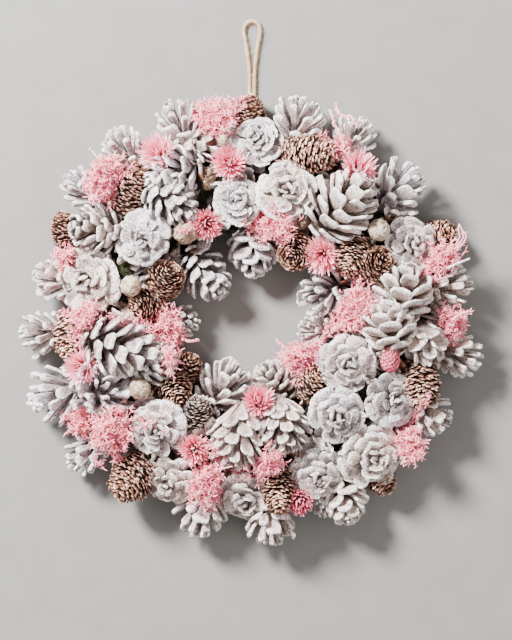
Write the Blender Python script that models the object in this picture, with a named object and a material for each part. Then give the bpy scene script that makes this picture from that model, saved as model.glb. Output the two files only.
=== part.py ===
"""A round door wreath of whitewashed and brown pine cones, pink flowers and pink moss, on a ring.

It lies on its back: +Z is the front that faces the viewer, +Y is the top, where a jute loop
hangs it. Each cone, flower head, tuft or ball is one entry of the table PIECES, which gives
its place on the wreath, and they all sink onto the ring and push their neighbours aside.
Metres throughout.
"""
import math
import random

import bmesh
import bpy
import numpy as np
from mathutils import Vector
from mathutils.bvhtree import BVHTree

MM = 0.001

# The ring: flat behind, domed in front.
RING_MIDDLE = 120 * MM
RING_HALF_WIDTH = 38 * MM
RING_HEIGHT = 32 * MM
RING_STEPS = 32
RING_ARCH_POINTS = 6

# The hanging loop: one jute strand, doubled, lying on the surface above the wreath.
STRAND_DIAMETER = 3.6 * MM
STRAND_GAP = 0.5 * MM
LOOP_TOP = 268 * MM
LOOP_BEND = 7.2 * MM
LOOP_NECK = 232 * MM
LOOP_EXIT_HEIGHT = 6 * MM
STRAND_STEPS = 30

# The canopy is the arch, across the ring, on which flowers, moss and balls show: its height
# at the edges, its rise over them and its half width. At its edges pieces lean outward.
CANOPY_EDGE = 14 * MM
CANOPY_RISE = 40 * MM
CANOPY_REACH = 82 * MM
EDGE_LEAN = 62
LEAN_REACH = 78 * MM
SINK = 5 * MM

# How pieces settle: each has three small balls on its axis as a core, as a share of its
# width, and in a round it falls, slides part of its way home, and undoes part of an overlap
# of cores, mostly by rising or sinking. A core may lie a little into the ring's moss.
CORE_SHARE = 0.33
CORE_PLACES = (-0.8, 0.0, 0.8)
CONE_BED = 0.42
LOWEST_SEAT = 6 * MM
SETTLE_ROUNDS = 260
FALL = 0.35 * MM
HOMING = 0.08
UNDO = 0.16
SIDEWAYS = 0.45
MOSS_DEPTH = 0.9
RING_UNDO = 0.5
RING_SIDEWAYS = 0.6
CORE_OVER_FLOOR = 4 * MM

# How scales are bent clear of other pieces: the gap between two nodes, the gap over the
# surface behind the wreath, and the share of its length that a scale gives up in a round.
CLEARANCE = 0.3 * MM
FLOOR_CLEARANCE = 0.8 * MM
CLEAR_ROUNDS = 480
CLEAR_STEP = 0.016

# The bound wire that ties the pieces of one cluster together.
WIRE_DIAMETER = 5 * MM

# A piece's surface: where in its row a scale's valley and notch lie, how much shallower the
# notch is, and where on the axis a bent scale is drawn to, as a share of its own height.
VALLEY = 0.12
NOTCH = 0.72
NOTCH_DEPTH = 0.08
ROOT_RISE = 0.45

# Each kind: rows of scales from base to tip, scales in a row, how deep the notches between
# them are, how far a scale leans toward the tip, how uneven the scales are, how much wider
# the whole is than what its neighbours leave in sight, and where it lies: open cones sink
# onto the ring, and the rest stays this far (mm) above or below the canopy.
KINDS = {
    "open_cone": {"rows": 4, "count": 6, "core": 0.58, "lean": 0.10, "ragged": 0.04,
                  "wider": 1.14, "float": None},
    "fir_cone": {"rows": 5, "count": 5, "core": 0.82, "lean": 0.02, "ragged": 0.0,
                 "wider": 1.10, "float": -7},
    "flower": {"rows": 3, "count": 8, "core": 0.55, "lean": 0.14, "ragged": 0.08,
               "wider": 1.10, "float": 3},
    "moss": {"rows": 3, "count": 7, "core": 0.58, "lean": 0.06, "ragged": 0.22,
             "wider": 1.25, "float": -2},
    "ball": {"rows": 4, "count": 6, "core": 0.94, "lean": 0.0, "ragged": 0.02,
             "wider": 1.0, "float": 4},
    "bud": {"rows": 4, "count": 5, "core": 0.88, "lean": 0.0, "ragged": 0.0,
            "wider": 1.0, "float": 5},
}

# Every node: its pieces as kind, x, y, width and length in millimetres, then the heading of
# its tip round the clock from +X and its rise toward the viewer, both in degrees. A piece
# with no heading leans away from the middle of the ring, and so does its rise.
PIECES = {
    "white_cones_01": [
        ("open_cone", -65, 172, 39, 44, None, 15),
        ("open_cone", -46, 155, 32, 53, 5, 12),
        ("open_cone", -65, 132, 40, 51, 200, 15),
        ("open_cone", -70, 100, 39, 49, 320, 15),
    ],
    "white_cones_02": [
        ("open_cone", -113, 148, 40, 44, None, 15),
    ],
    "white_cones_03": [
        ("open_cone", -146, 114, 39, 44, None, 15),
        ("open_cone", -137, 78, 40, 48, 175, 25),
        ("open_cone", -96, 70, 48, 40, 150, 80),
        ("open_cone", -142, 33, 55, 44, 170, 75),
        ("open_cone", -176, 36, 39, 44, None, 15),
    ],
    "white_cones_04": [
        ("open_cone", -185, -11, 40, 40, None, 15),
    ],
    "white_cones_05": [
        ("open_cone", -83, -46, 32, 39, 30, 20),
        ("open_cone", -109, -25, 48, 63, 345, 12),
        ("open_cone", -130, -65, 48, 40, 215, 65),
        ("open_cone", -174, -65, 48, 48, None, 15),
    ],
    "white_cones_06": [
        ("open_cone", -146, -121, 40, 44, None, 15),
    ],
    "white_cones_07": [
        ("open_cone", -82, -96, 49, 42, 230, 75),
        ("open_cone", -71, -143, 40, 39, 245, 60),
        ("open_cone", -45, -173, 40, 44, None, 15),
        ("open_cone", -7, -159, 42, 40, 265, 45),
        ("open_cone", 19, -181, 40, 44, None, 15),
    ],
    "white_cones_08": [
        ("open_cone", -25, -58, 44, 49, 75, 35),
        ("open_cone", -14, -105, 48, 58, 250, 15),
        ("open_cone", 31, -93, 44, 49, 300, 15),
        ("open_cone", 21, -54, 37, 40, 120, 30),
    ],
    "white_cones_09": [
        ("open_cone", 58, -136, 49, 42, 290, 70),
        ("open_cone", 105, -120, 55, 44, 310, 68),
        ("open_cone", 83, -163, 39, 44, None, 15),
        ("open_cone", 58, -169, 30, 40, None, 15),
    ],
    "white_cones_10": [
        ("open_cone", 86, -37, 51, 42, 330, 80),
        ("open_cone", 73, -85, 49, 42, 310, 75),
        ("open_cone", 121, -72, 49, 42, 330, 70),
        ("open_cone", 158, -84, 39, 44, None, 15),
    ],
    "white_cones_11": [
        ("open_cone", 176, 30, 40, 46, None, 15),
        ("open_cone", 130, 23, 49, 48, 80, 20),
        ("open_cone", 120, -9, 44, 46, 100, 20),
        ("open_cone", 151, -22, 33, 33, 300, 60),
        ("open_cone", 180, -32, 40, 46, None, 15),
    ],
    "white_cones_12": [
        ("open_cone", 129, 114, 49, 49, 45, 30),
        ("open_cone", 140, 65, 48, 40, 25, 70),
    ],
    "white_cones_13": [
        ("open_cone", 92, 160, 37, 40, None, 15),
    ],
    "white_cones_14": [
        ("open_cone", 42, 176, 44, 44, None, 15),
        ("open_cone", 4, 155, 46, 40, 90, 68),
        ("open_cone", 29, 114, 51, 44, 80, 80),
        ("open_cone", -16, 103, 44, 39, 100, 85),
        ("open_cone", 81, 97, 51, 63, 50, 20),
    ],
    "white_cones_15": [
        ("open_cone", 2, 62, 40, 44, 270, 15),
    ],
    "white_cones_16": [
        ("open_cone", -42, 42, 38, 52, 310, 20),
        ("open_cone", -56, -5, 30, 32, 0, 15),
    ],
    "white_cones_17": [
        ("open_cone", 63, 23, 46, 48, 200, 35),
        ("open_cone", 54, -14, 35, 39, 165, 20),
    ],
    "brown_cone_01": [
        ("fir_cone", -2, 179, 28, 38, 90, 10),
    ],
    "brown_cone_02": [
        ("fir_cone", 50, 146, 32, 48, 0, 5),
    ],
    "brown_cone_03": [
        ("fir_cone", 162, 74, 30, 39, None, 25),
    ],
    "brown_cone_04": [
        ("fir_cone", 88, 55, 32, 39, 240, 20),
        ("fir_cone", 108, 44, 30, 37, 30, 60),
    ],
    "brown_cone_05": [
        ("fir_cone", 40, 60, 33, 37, 235, 60),
    ],
    "brown_cone_06": [
        ("fir_cone", 149, -51, 33, 40, 0, 20),
    ],
    "brown_cone_07": [
        ("fir_cone", 52, -58, 30, 35, 60, 30),
    ],
    "brown_cone_08": [
        ("fir_cone", 116, -146, 28, 39, None, 15),
    ],
    "brown_cone_09": [
        ("fir_cone", 23, -146, 28, 44, 270, 25),
    ],
    "brown_cone_10": [
        ("fir_cone", -48, -84, 25, 30, 90, 30),
    ],
    "brown_cone_11": [
        ("fir_cone", -106, -142, 39, 49, 225, 15),
    ],
    "brown_cone_12": [
        ("fir_cone", -56, -42, 33, 39, 60, 40),
        ("fir_cone", -69, -61, 33, 39, 300, 40),
    ],
    "brown_cone_13": [
        ("fir_cone", -160, -9, 25, 40, 265, 10),
    ],
    "brown_cone_14": [
        ("fir_cone", -78, 33, 33, 37, 60, 50),
        ("fir_cone", -92, 12, 28, 33, 200, 30),
    ],
    "brown_cone_15": [
        ("fir_cone", -164, 75, 27, 38, None, 25),
    ],
    "brown_cone_16": [
        ("fir_cone", -109, 111, 33, 53, 70, 15),
    ],
    "pink_flower_01": [
        ("flower", -21, 136, 30, 25, None, None),
    ],
    "pink_flower_02": [
        ("flower", 61, 55, 32, 25, None, None),
    ],
    "pink_flower_03": [
        ("flower", 41, -161, 25, 23, None, None),
    ],
    "pink_flower_04": [
        ("flower", 4, -72, 26, 23, None, None),
    ],
    "pink_flower_05": [
        ("flower", -84, 147, 33, 26, None, None),
    ],
    "pink_flower_06": [
        ("flower", -40, 82, 29, 25, None, None),
    ],
    "pink_spray_01": [
        ("moss", 77, 158, 26, 35, None, None),
        ("flower", 93, 135, 32, 26, None, None),
    ],
    "pink_spray_02": [
        ("moss", 169, 49, 33, 49, 50, 20),
        ("moss", 176, -4, 37, 37, None, None),
    ],
    "pink_spray_03": [
        ("moss", 86, 11, 40, 49, 45, 60),
    ],
    "pink_spray_04": [
        ("moss", 140, -109, 30, 40, None, None),
    ],
    "pink_spray_05": [
        ("moss", 44, -34, 42, 35, None, None),
    ],
    "pink_spray_06": [
        ("moss", 12, -128, 39, 30, None, None),
    ],
    "pink_spray_07": [
        ("moss", -40, -146, 28, 49, 80, 30),
        ("flower", -52, -113, 29, 25, None, None),
    ],
    "pink_spray_08": [
        ("moss", -158, -87, 25, 28, None, None),
        ("moss", -128, -107, 40, 49, 60, 45),
    ],
    "pink_spray_09": [
        ("flower", -151, -42, 33, 26, None, None),
        ("moss", -144, -4, 33, 50, 0, 30),
    ],
    "pink_spray_10": [
        ("moss", -74, -13, 30, 55, 90, 30),
    ],
    "pink_spray_11": [
        ("moss", -163, 55, 23, 23, None, None),
    ],
    "pink_spray_12": [
        ("moss", -130, 118, 32, 48, 80, 30),
    ],
    "pink_spray_13": [
        ("moss", -33, 178, 42, 37, None, None),
    ],
    "pink_spray_14": [
        ("moss", 16, 81, 30, 46, 0, 40),
    ],
    "cream_ball_01": [
        ("ball", 111, 77, 22, 22, None, None),
    ],
    "cream_ball_02": [
        ("ball", -98, -62, 21, 21, None, None),
    ],
    "cream_ball_03": [
        ("ball", -106, 28, 21, 21, None, None),
    ],
    "cream_ball_04": [
        ("ball", -59, 77, 23, 23, None, None),
    ],
    "pink_bud": [
        ("bud", 121, -35, 18, 25, 90, 50),
    ],
}

# Colour (linear), roughness.
FINISHES = {
    "white_cones": ((0.60, 0.56, 0.58), 0.85),
    "brown_cone": ((0.16, 0.075, 0.045), 0.80),
    "pink_flower": ((0.80, 0.33, 0.42), 0.90),
    "pink_spray": ((0.72, 0.26, 0.30), 0.92),
    "cream_ball": ((0.62, 0.54, 0.42), 0.85),
    "pink_bud": ((0.80, 0.24, 0.28), 0.80),
    "base_ring": ((0.035, 0.040, 0.015), 0.95),
    "hanging_loop": ((0.50, 0.36, 0.22), 0.95),
}


def clear_scene():
    for old in list(bpy.data.objects):
        bpy.data.objects.remove(old, do_unlink=True)


def direction(heading, rise):
    """A unit vector from a heading in the wreath's plane and a rise toward the viewer."""
    flat = math.cos(math.radians(rise))
    along = math.radians(heading)
    return Vector((flat * math.cos(along), flat * math.sin(along), math.sin(math.radians(rise))))


def ring_top(radius):
    """How high the ring's domed front is at this radius."""
    across = (radius - RING_MIDDLE) / RING_HALF_WIDTH
    return RING_HEIGHT * math.sqrt(max(0.0, 1.0 - across * across))


def canopy(radius):
    """How high the middles of the flowers and balls lie, which show between the cones."""
    across = (radius - RING_MIDDLE) / CANOPY_REACH
    return CANOPY_EDGE + CANOPY_RISE * math.sqrt(max(0.0, 1.0 - across * across))


class Piece:
    """One cone, flower head, tuft, ball or bud, as a place, an axis and its scaly surface."""

    def __init__(self, group, kind, x, y, width, length, heading, rise):
        self.group = group
        self.kind = kind
        self.form = KINDS[kind]
        self.width = width * self.form["wider"] * MM
        self.length = length * MM
        self.home = Vector((x, y, 0)) * MM
        radius = self.home.length
        outward = math.degrees(math.atan2(y, x))
        off = max(-1.0, min(1.0, (radius - RING_MIDDLE) / LEAN_REACH))
        if heading is None:
            heading = outward if off >= 0 else outward + 180
        if rise is None:
            rise = 90 - EDGE_LEAN * abs(off)
        self.axis = direction(heading, rise)
        if self.form["float"] is None:
            self.home.z = max(ring_top(radius), LOWEST_SEAT) + CONE_BED * self.width
            self.lowest = 0.0
        else:
            self.home.z = canopy(radius) + self.form["float"] * MM
            self.lowest = self.home.z - SINK
        self.centre = self.home.copy()


def core_points(pieces):
    """Three points on the axis of every piece, whose small spheres keep pieces apart."""
    reach = np.array([max(0.0, 0.5 * p.length - CORE_SHARE * p.width) for p in pieces])
    centres = np.array([p.centre for p in pieces])
    axes = np.array([p.axis for p in pieces])
    spread = [centres + axes * (reach * place)[:, None] for place in CORE_PLACES]
    return np.stack(spread, axis=1)


def settle(pieces):
    """Lets the pieces sink onto the ring and push each other aside, until they lie packed."""
    core = np.array([CORE_SHARE * p.width for p in pieces])
    near = core[:, None] + core[None, :]
    for turn in range(SETTLE_ROUNDS):
        cores = core_points(pieces)
        move = np.zeros((len(pieces), 3))
        gap = cores[:, :, None, None, :] - cores[None, None, :, :, :]
        distance = np.linalg.norm(gap, axis=-1) + 1e-9
        overlap = np.maximum(0.0, near[:, None, :, None] - distance)
        for index in range(len(pieces)):
            overlap[index, :, index, :] = 0.0
        push = (gap / distance[..., None]) * overlap[..., None]
        push[..., :2] *= SIDEWAYS
        move += UNDO * push.sum(axis=(1, 2, 3))
        for index, piece in enumerate(pieces):
            piece.centre += Vector(move[index])
            piece.centre.x += HOMING * (piece.home.x - piece.centre.x)
            piece.centre.y += HOMING * (piece.home.y - piece.centre.y)
            if piece.centre.z > piece.lowest:
                piece.centre.z -= FALL
            for place in CORE_PLACES:
                keep_off_ring(piece, place, core[index])


def keep_off_ring(piece, place, core):
    """Pushes a piece out of the ring's dome and up off the surface behind the wreath."""
    reach = max(0.0, 0.5 * piece.length - core)
    point = piece.centre + piece.axis * reach * place
    radius = math.hypot(point.x, point.y)
    across = (radius - RING_MIDDLE) / (RING_HALF_WIDTH + MOSS_DEPTH * core)
    up = point.z / (RING_HEIGHT + MOSS_DEPTH * core)
    inside = math.hypot(across, up)
    if 1e-6 < inside < 1.0:
        lift = (1.0 / inside - 1.0) * RING_UNDO
        outward = Vector((point.x, point.y, 0)).normalized()
        piece.centre += outward * lift * (radius - RING_MIDDLE) * RING_SIDEWAYS
        piece.centre.z += lift * point.z
    lowest = core + CORE_OVER_FLOOR
    if point.z < lowest:
        piece.centre.z += RING_UNDO * (lowest - point.z)


def outline(kind, t):
    """Radius of the scale tips, as a share of half the width, at t from base 0 to tip 1."""
    if kind == "flower":
        return math.sqrt(max(0.0, 1.0 - (0.92 * t) ** 2))
    if kind in ("moss", "ball"):
        return math.sin(math.pi * (0.10 + 0.80 * t)) ** 0.55
    if kind == "bud":
        return math.sin(math.pi * (0.22 + 0.70 * t)) ** 0.8
    if kind == "fir_cone":
        return math.sin(math.pi * (0.24 + 0.66 * t)) ** 0.75
    return math.sin(math.pi * (0.22 + 0.64 * t)) ** 0.7


def grow(piece, seed):
    """Covers a piece's core with rows of scales: points, triangles and each point's root."""
    form = piece.form
    draw = random.Random(seed)
    rows, count = form["rows"], form["count"]
    frame = piece.axis.to_track_quat("Z", "Y").to_matrix()
    turn = draw.uniform(0, math.tau)
    points, roots, faces = [], [], []

    def add(along, radius, angle):
        level = (along - 0.5) * piece.length
        spot = Vector((radius * math.cos(angle), radius * math.sin(angle), level))
        points.append(piece.centre + frame @ spot)
        roots.append(piece.centre + frame @ Vector((0, 0, ROOT_RISE * level)))
        return len(points) - 1

    base = add(0.0, 0.0, 0.0)
    half = piece.width / 2
    pitch = math.tau / count
    previous = None
    for row in range(rows):
        low, high = (row + VALLEY) / rows, (row + NOTCH) / rows
        shift = turn + (row % 2) * pitch / 2
        inner = form["core"] * outline(piece.kind, low) * half
        valley = [add(low, inner, shift + k * pitch) for k in range(count)]
        if previous is None:
            for k in range(count):
                faces.append((base, valley[(k + 1) % count], valley[k]))
        else:
            tips, notches = previous
            for k in range(count):
                # The valley's points stand behind the tips of the row before.
                j = k if row % 2 else (k + 1) % count
                after = (j + 1) % count
                faces.append((notches[k], tips[k], valley[j]))
                faces.append((tips[k], notches[(k + 1) % count], valley[j]))
                faces.append((notches[(k + 1) % count], valley[after], valley[j]))
        outer = outline(piece.kind, high) * half
        notches = [add(high - 0.02, (form["core"] + NOTCH_DEPTH) * outer, shift + k * pitch)
                   for k in range(count)]
        tips = []
        for k in range(count):
            reach = outer * (1 + draw.uniform(-1, 1) * form["ragged"])
            lean = min(high + form["lean"] / rows * 2, (row + 1.05) / rows)
            tips.append(add(lean, reach, shift + (k + 0.5) * pitch))
        for k in range(count):
            after = (k + 1) % count
            faces.append((valley[k], tips[k], notches[k]))
            faces.append((valley[k], valley[after], tips[k]))
            faces.append((valley[after], notches[after], tips[k]))
        previous = (tips, notches)
    top = add(1.0, 0.0, 0.0)
    tips, notches = previous
    for k in range(count):
        after = (k + 1) % count
        faces.append((notches[k], tips[k], top))
        faces.append((tips[k], notches[after], top))
    piece.points, piece.roots, piece.faces = points, roots, faces


def wires(pieces):
    """The wires of a cluster: each piece after the first is tied to its nearest one before."""
    tied = {}
    for index, piece in enumerate(pieces):
        mates = [mate for mate in pieces[:index] if mate.group == piece.group]
        if mates:
            mate = min(mates, key=lambda other: (other.centre - piece.centre).length)
            tied.setdefault(piece.group, []).append(wire(piece.centre, mate.centre))
    return tied


def wire(start, end):
    """A square bar from one piece's middle to another's: points and triangles."""
    along = (end - start).normalized()
    side = along.orthogonal().normalized() * WIRE_DIAMETER / 2
    up = along.cross(side)
    corners = [side + up, up - side, -side - up, side - up]
    points = [start + corner for corner in corners] + [end + corner for corner in corners]
    faces = [(0, 2, 1), (0, 3, 2), (4, 5, 6), (4, 6, 7)]
    for edge in range(4):
        after = (edge + 1) % 4
        faces += [(edge, after, after + 4), (edge, after + 4, edge + 4)]
    return points, faces


def ring_mesh():
    """The base ring: a flat-backed dome turned round the wreath's middle."""
    mesh = bmesh.new()
    profile = []
    for step in range(RING_ARCH_POINTS):
        angle = math.pi * step / (RING_ARCH_POINTS - 1)
        across = RING_MIDDLE - RING_HALF_WIDTH * math.cos(angle)
        profile.append(mesh.verts.new((across, 0, RING_HEIGHT * math.sin(angle))))
    loop = list(zip(profile, profile[1:] + profile[:1]))
    edges = [mesh.edges.new(pair) for pair in loop]
    bmesh.ops.spin(mesh, geom=profile + edges, axis=(0, 0, 1), cent=(0, 0, 0),
                   angle=math.tau, steps=RING_STEPS, use_merge=True)
    bmesh.ops.remove_doubles(mesh, verts=mesh.verts, dist=0.01 * MM)
    bmesh.ops.triangulate(mesh, faces=mesh.faces)
    bmesh.ops.recalc_face_normals(mesh, faces=mesh.faces)
    return mesh


def strand_route():
    """The route of the doubled strand: out of the ring, up, round the bend and back."""
    lay = STRAND_DIAMETER / 2 + 0.3 * MM
    beside = (STRAND_DIAMETER + STRAND_GAP) / 2
    leave = math.sqrt((RING_MIDDLE + RING_HALF_WIDTH) ** 2 - beside ** 2) + 0.4 * MM
    bend_y = LOOP_TOP - STRAND_DIAMETER / 2 - LOOP_BEND
    left = [
        Vector((-beside, leave, LOOP_EXIT_HEIGHT)),
        Vector((-beside, leave + 10 * MM, LOOP_EXIT_HEIGHT - 1.2 * MM)),
        Vector((-beside, leave + 26 * MM, lay)),
        Vector((-beside, LOOP_NECK - 26 * MM, lay)),
        Vector((-beside - 0.4 * MM, LOOP_NECK - 10 * MM, lay)),
        Vector((-0.62 * LOOP_BEND, LOOP_NECK + 8 * MM, lay)),
        Vector((-LOOP_BEND, bend_y - 3 * MM, lay)),
    ]
    bend = []
    for step in range(1, 6):
        angle = math.pi - math.pi * step / 6
        bend.append(Vector((LOOP_BEND * math.cos(angle), bend_y + LOOP_BEND * math.sin(angle), lay)))
    right = [Vector((-spot.x, spot.y, spot.z)) for spot in reversed(left)]
    return left + bend + right


def smooth_route(spots, steps):
    """Evenly spaced points on a smooth curve through the route's own points."""
    fine = []
    padded = [spots[0] * 2 - spots[1]] + spots + [spots[-1] * 2 - spots[-2]]
    for k in range(1, len(padded) - 2):
        a, b, c, d = padded[k - 1:k + 3]
        for part in range(12):
            t = part / 12
            fine.append(0.5 * (2 * b + (c - a) * t + (2 * a - 5 * b + 4 * c - d) * t * t
                               + (3 * b - a - 3 * c + d) * t * t * t))
    fine.append(spots[-1])
    lengths = [0.0]
    for a, b in zip(fine, fine[1:]):
        lengths.append(lengths[-1] + (b - a).length)
    even = []
    for step in range(steps + 1):
        goal = lengths[-1] * step / steps
        k = max(i for i in range(len(fine) - 1) if lengths[i] <= goal)
        share = (goal - lengths[k]) / (lengths[k + 1] - lengths[k])
        even.append(fine[k].lerp(fine[k + 1], min(1.0, share)))
    return even


def loop_curve(shift):
    """The jute strand as a round cord with filled ends."""
    data = bpy.data.curves.new("hanging_loop", "CURVE")
    data.dimensions = "3D"
    data.bevel_depth = STRAND_DIAMETER / 2
    data.bevel_resolution = 2
    data.use_fill_caps = True
    spots = smooth_route(strand_route(), STRAND_STEPS)
    spline = data.splines.new("POLY")
    spline.points.add(len(spots) - 1)
    for point, spot in zip(spline.points, spots):
        point.co = (*(spot + shift), 1.0)
    loop = bpy.data.objects.new("hanging_loop", data)
    bpy.context.scene.collection.objects.link(loop)
    return loop


def swollen_tree(points, faces, by):
    """A search tree of a closed surface, grown outward a little along its normals."""
    normals = [Vector() for _ in points]
    for a, b, c in faces:
        normal = (points[b] - points[a]).cross(points[c] - points[a])
        for corner in (a, b, c):
            normals[corner] += normal
    grown = [p + n.normalized() * by for p, n in zip(points, normals)]
    return BVHTree.FromPolygons(grown, faces, epsilon=0.0), grown


def bend_clear(pieces, fixed):
    """Draws scales in toward their roots until no two nodes touch, and leaves a gap.

    What is fixed is a list of group name, points and triangles; a group ignores its own.
    """
    half_gap = CLEARANCE / 2 + 0.05 * MM
    fixed_trees = [(group, swollen_tree(points, faces, half_gap)[0]) for group, points, faces in fixed]
    trees = [None] * len(pieces)
    stale = set(range(len(pieces)))
    boxes = [None] * len(pieces)
    for turn in range(CLEAR_ROUNDS):
        for index in stale:
            piece = pieces[index]
            trees[index], grown = swollen_tree(piece.points, piece.faces, half_gap)
            low = [min(p[k] for p in grown) for k in range(3)]
            high = [max(p[k] for p in grown) for k in range(3)]
            boxes[index] = (low, high)
        caught = {}
        for i, piece in enumerate(pieces):
            low = {k for k, p in enumerate(piece.points) if p.z < FLOOR_CLEARANCE}
            caught.setdefault(i, set()).update(low)
            for group, tree in fixed_trees:
                if group != piece.group:
                    for face, _ in trees[i].overlap(tree):
                        caught[i].update(piece.faces[face])
            for j in range(i):
                if pieces[j].group == piece.group or not boxes_meet(boxes[i], boxes[j]):
                    continue
                for mine, other in trees[i].overlap(trees[j]):
                    caught[i].update(piece.faces[mine])
                    caught[j].update(pieces[j].faces[other])
        stale = {i for i, points in caught.items() if points}
        if not stale:
            return
        for i in stale:
            piece = pieces[i]
            for k in caught[i]:
                piece.points[k] = piece.points[k].lerp(piece.roots[k], CLEAR_STEP)
    print("still touching:", sorted({pieces[i].group for i in stale}))


def boxes_meet(one, other):
    return all(one[0][k] < other[1][k] and other[0][k] < one[1][k] for k in range(3))


def solid(name, points, faces, shift):
    data = bpy.data.meshes.new(name)
    data.from_pydata([p + shift for p in points], [], faces)
    made = bpy.data.objects.new(name, data)
    bpy.context.scene.collection.objects.link(made)
    return made


def outer_shell(data):
    """Fills the pockets that a union seals between scales, and drops loose scraps."""
    mesh = bmesh.new()
    mesh.from_mesh(data)
    left = set(mesh.faces)
    shells = []
    while left:
        stack = [left.pop()]
        shell = []
        while stack:
            face = stack.pop()
            shell.append(face)
            for edge in face.edges:
                for near in edge.link_faces:
                    if near in left:
                        left.remove(near)
                        stack.append(near)
        shells.append(shell)
    largest = max(shells, key=lambda shell: sum(face.calc_area() for face in shell))
    surplus = [face for shell in shells if shell is not largest for face in shell]
    bmesh.ops.delete(mesh, geom=surplus, context="FACES")
    mesh.to_mesh(data)
    mesh.free()
    return data


def fuse(name, members, ties, shift):
    """Joins a node's pieces and their wires into one closed body by one Boolean union."""
    first = solid(name, members[0].points, members[0].faces, shift)
    if len(members) == 1:
        return first
    others = bpy.data.collections.new(name + "_others")
    bpy.context.scene.collection.children.link(others)
    shapes = [(member.points, member.faces) for member in members[1:]] + ties
    for index, (points, faces) in enumerate(shapes):
        other = solid(f"{name}_{index}", points, faces, shift)
        bpy.context.scene.collection.objects.unlink(other)
        others.objects.link(other)
    union = first.modifiers.new("union", "BOOLEAN")
    union.operation = "UNION"
    union.operand_type = "COLLECTION"
    union.collection = others
    union.solver = "EXACT"
    union.use_self = False
    evaluated = first.evaluated_get(bpy.context.evaluated_depsgraph_get())
    joined = bpy.data.meshes.new_from_object(evaluated)
    first.modifiers.clear()
    first.data = outer_shell(joined)
    for other in list(others.objects):
        bpy.data.objects.remove(other, do_unlink=True)
    bpy.data.collections.remove(others)
    return first


def finish(made, name):
    """Gives a node the plain finish of its family."""
    family = name if name in FINISHES else name.rsplit("_", 1)[0]
    material = bpy.data.materials.get(family)
    if material is None:
        colour, roughness = FINISHES[family]
        material = bpy.data.materials.new(family)
        material.use_nodes = True
        shader = material.node_tree.nodes["Principled BSDF"]
        shader.inputs["Base Color"].default_value = (*colour, 1.0)
        shader.inputs["Roughness"].default_value = roughness
        shader.inputs["Metallic"].default_value = 0.0
    made.data.materials.clear()
    made.data.materials.append(material)


def strand_obstacle():
    """The strand as a plain square tube, for pieces to stay clear of."""
    points, faces = [], []
    reach = STRAND_DIAMETER / 2
    spots = smooth_route(strand_route(), STRAND_STEPS)
    for k, spot in enumerate(spots):
        ahead = (spots[min(k + 1, len(spots) - 1)] - spots[max(k - 1, 0)]).normalized()
        side = ahead.cross(Vector((0, 0, 1))).normalized() * reach
        up = side.normalized().cross(ahead) * reach
        points += [spot + side + up, spot - side + up, spot - side - up, spot + side - up]
    for k in range(len(spots) - 1):
        for edge in range(4):
            a, b = 4 * k + edge, 4 * k + (edge + 1) % 4
            faces += [(a, b, b + 4), (a, b + 4, a + 4)]
    return points, faces


def build():
    clear_scene()
    pieces = [Piece(group, *row) for group, rows in PIECES.items() for row in rows]
    settle(pieces)
    for seed, piece in enumerate(pieces):
        grow(piece, seed)
    ring = ring_mesh()
    ring_points = [v.co.copy() for v in ring.verts]
    ring_faces = [tuple(v.index for v in face.verts) for face in ring.faces]
    ring.free()
    tied = wires(pieces)
    fixed = [("base_ring", ring_points, ring_faces), ("hanging_loop", *strand_obstacle())]
    for group, bars in tied.items():
        fixed += [(group, *bar) for bar in bars]
    bend_clear(pieces, fixed)

    spots = [p for piece in pieces for p in piece.points]
    middle = [(min(p[k] for p in spots) + max(p[k] for p in spots)) / 2 for k in range(2)]
    shift = Vector((-middle[0], -middle[1], 0))
    for group in PIECES:
        members = [piece for piece in pieces if piece.group == group]
        finish(fuse(group, members, tied.get(group, []), shift), group)
    finish(solid("base_ring", ring_points, ring_faces, shift), "base_ring")
    finish(loop_curve(shift), "hanging_loop")


build()
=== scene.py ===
"""A round wreath of whitewashed and brown pine cones, pink flowers and pink moss.

It lies on its back on a pale floor, and its jute loop lies above it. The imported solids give
every piece its place: each is dressed here with its scales, petals or strands.
"""
import math
import random

import bpy
import numpy as np
from mathutils import Matrix, Vector


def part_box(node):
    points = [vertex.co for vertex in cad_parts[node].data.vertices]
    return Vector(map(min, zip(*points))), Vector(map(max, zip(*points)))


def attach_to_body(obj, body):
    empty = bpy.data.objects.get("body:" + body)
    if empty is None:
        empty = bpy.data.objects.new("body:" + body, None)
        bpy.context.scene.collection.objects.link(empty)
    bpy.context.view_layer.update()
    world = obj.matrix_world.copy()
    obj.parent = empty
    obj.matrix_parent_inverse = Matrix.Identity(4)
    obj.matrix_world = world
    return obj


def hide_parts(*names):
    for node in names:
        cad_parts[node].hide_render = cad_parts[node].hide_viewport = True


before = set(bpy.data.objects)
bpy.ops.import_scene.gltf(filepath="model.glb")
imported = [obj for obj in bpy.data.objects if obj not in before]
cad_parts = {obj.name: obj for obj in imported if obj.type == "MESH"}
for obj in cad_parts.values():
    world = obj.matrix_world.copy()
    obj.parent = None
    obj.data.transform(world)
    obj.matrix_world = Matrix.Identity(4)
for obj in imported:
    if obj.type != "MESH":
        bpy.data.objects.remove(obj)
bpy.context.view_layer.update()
bpy.ops.object.select_all(action="DESELECT")
MM = 0.001

# Camera
# The wreath was photographed upright, from straight in front. Here it lies on its back, so
# the camera looks straight down on it from two metres, with the loop toward the top.
PICTURE_HEIGHT = 563.2 * MM
PICTURE_MIDDLE = (5.3 * MM, -3.0 * MM)
MIDDLE_HEIGHT = 40 * MM
CAMERA_RISE = 2.0
bpy.ops.object.camera_add(location=(*PICTURE_MIDDLE, MIDDLE_HEIGHT + CAMERA_RISE),
                          rotation=(0, 0, 0))
camera = bpy.context.object
camera.name = "camera"
camera.data.lens = camera.data.sensor_width * CAMERA_RISE / PICTURE_HEIGHT
bpy.context.scene.camera = camera

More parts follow.
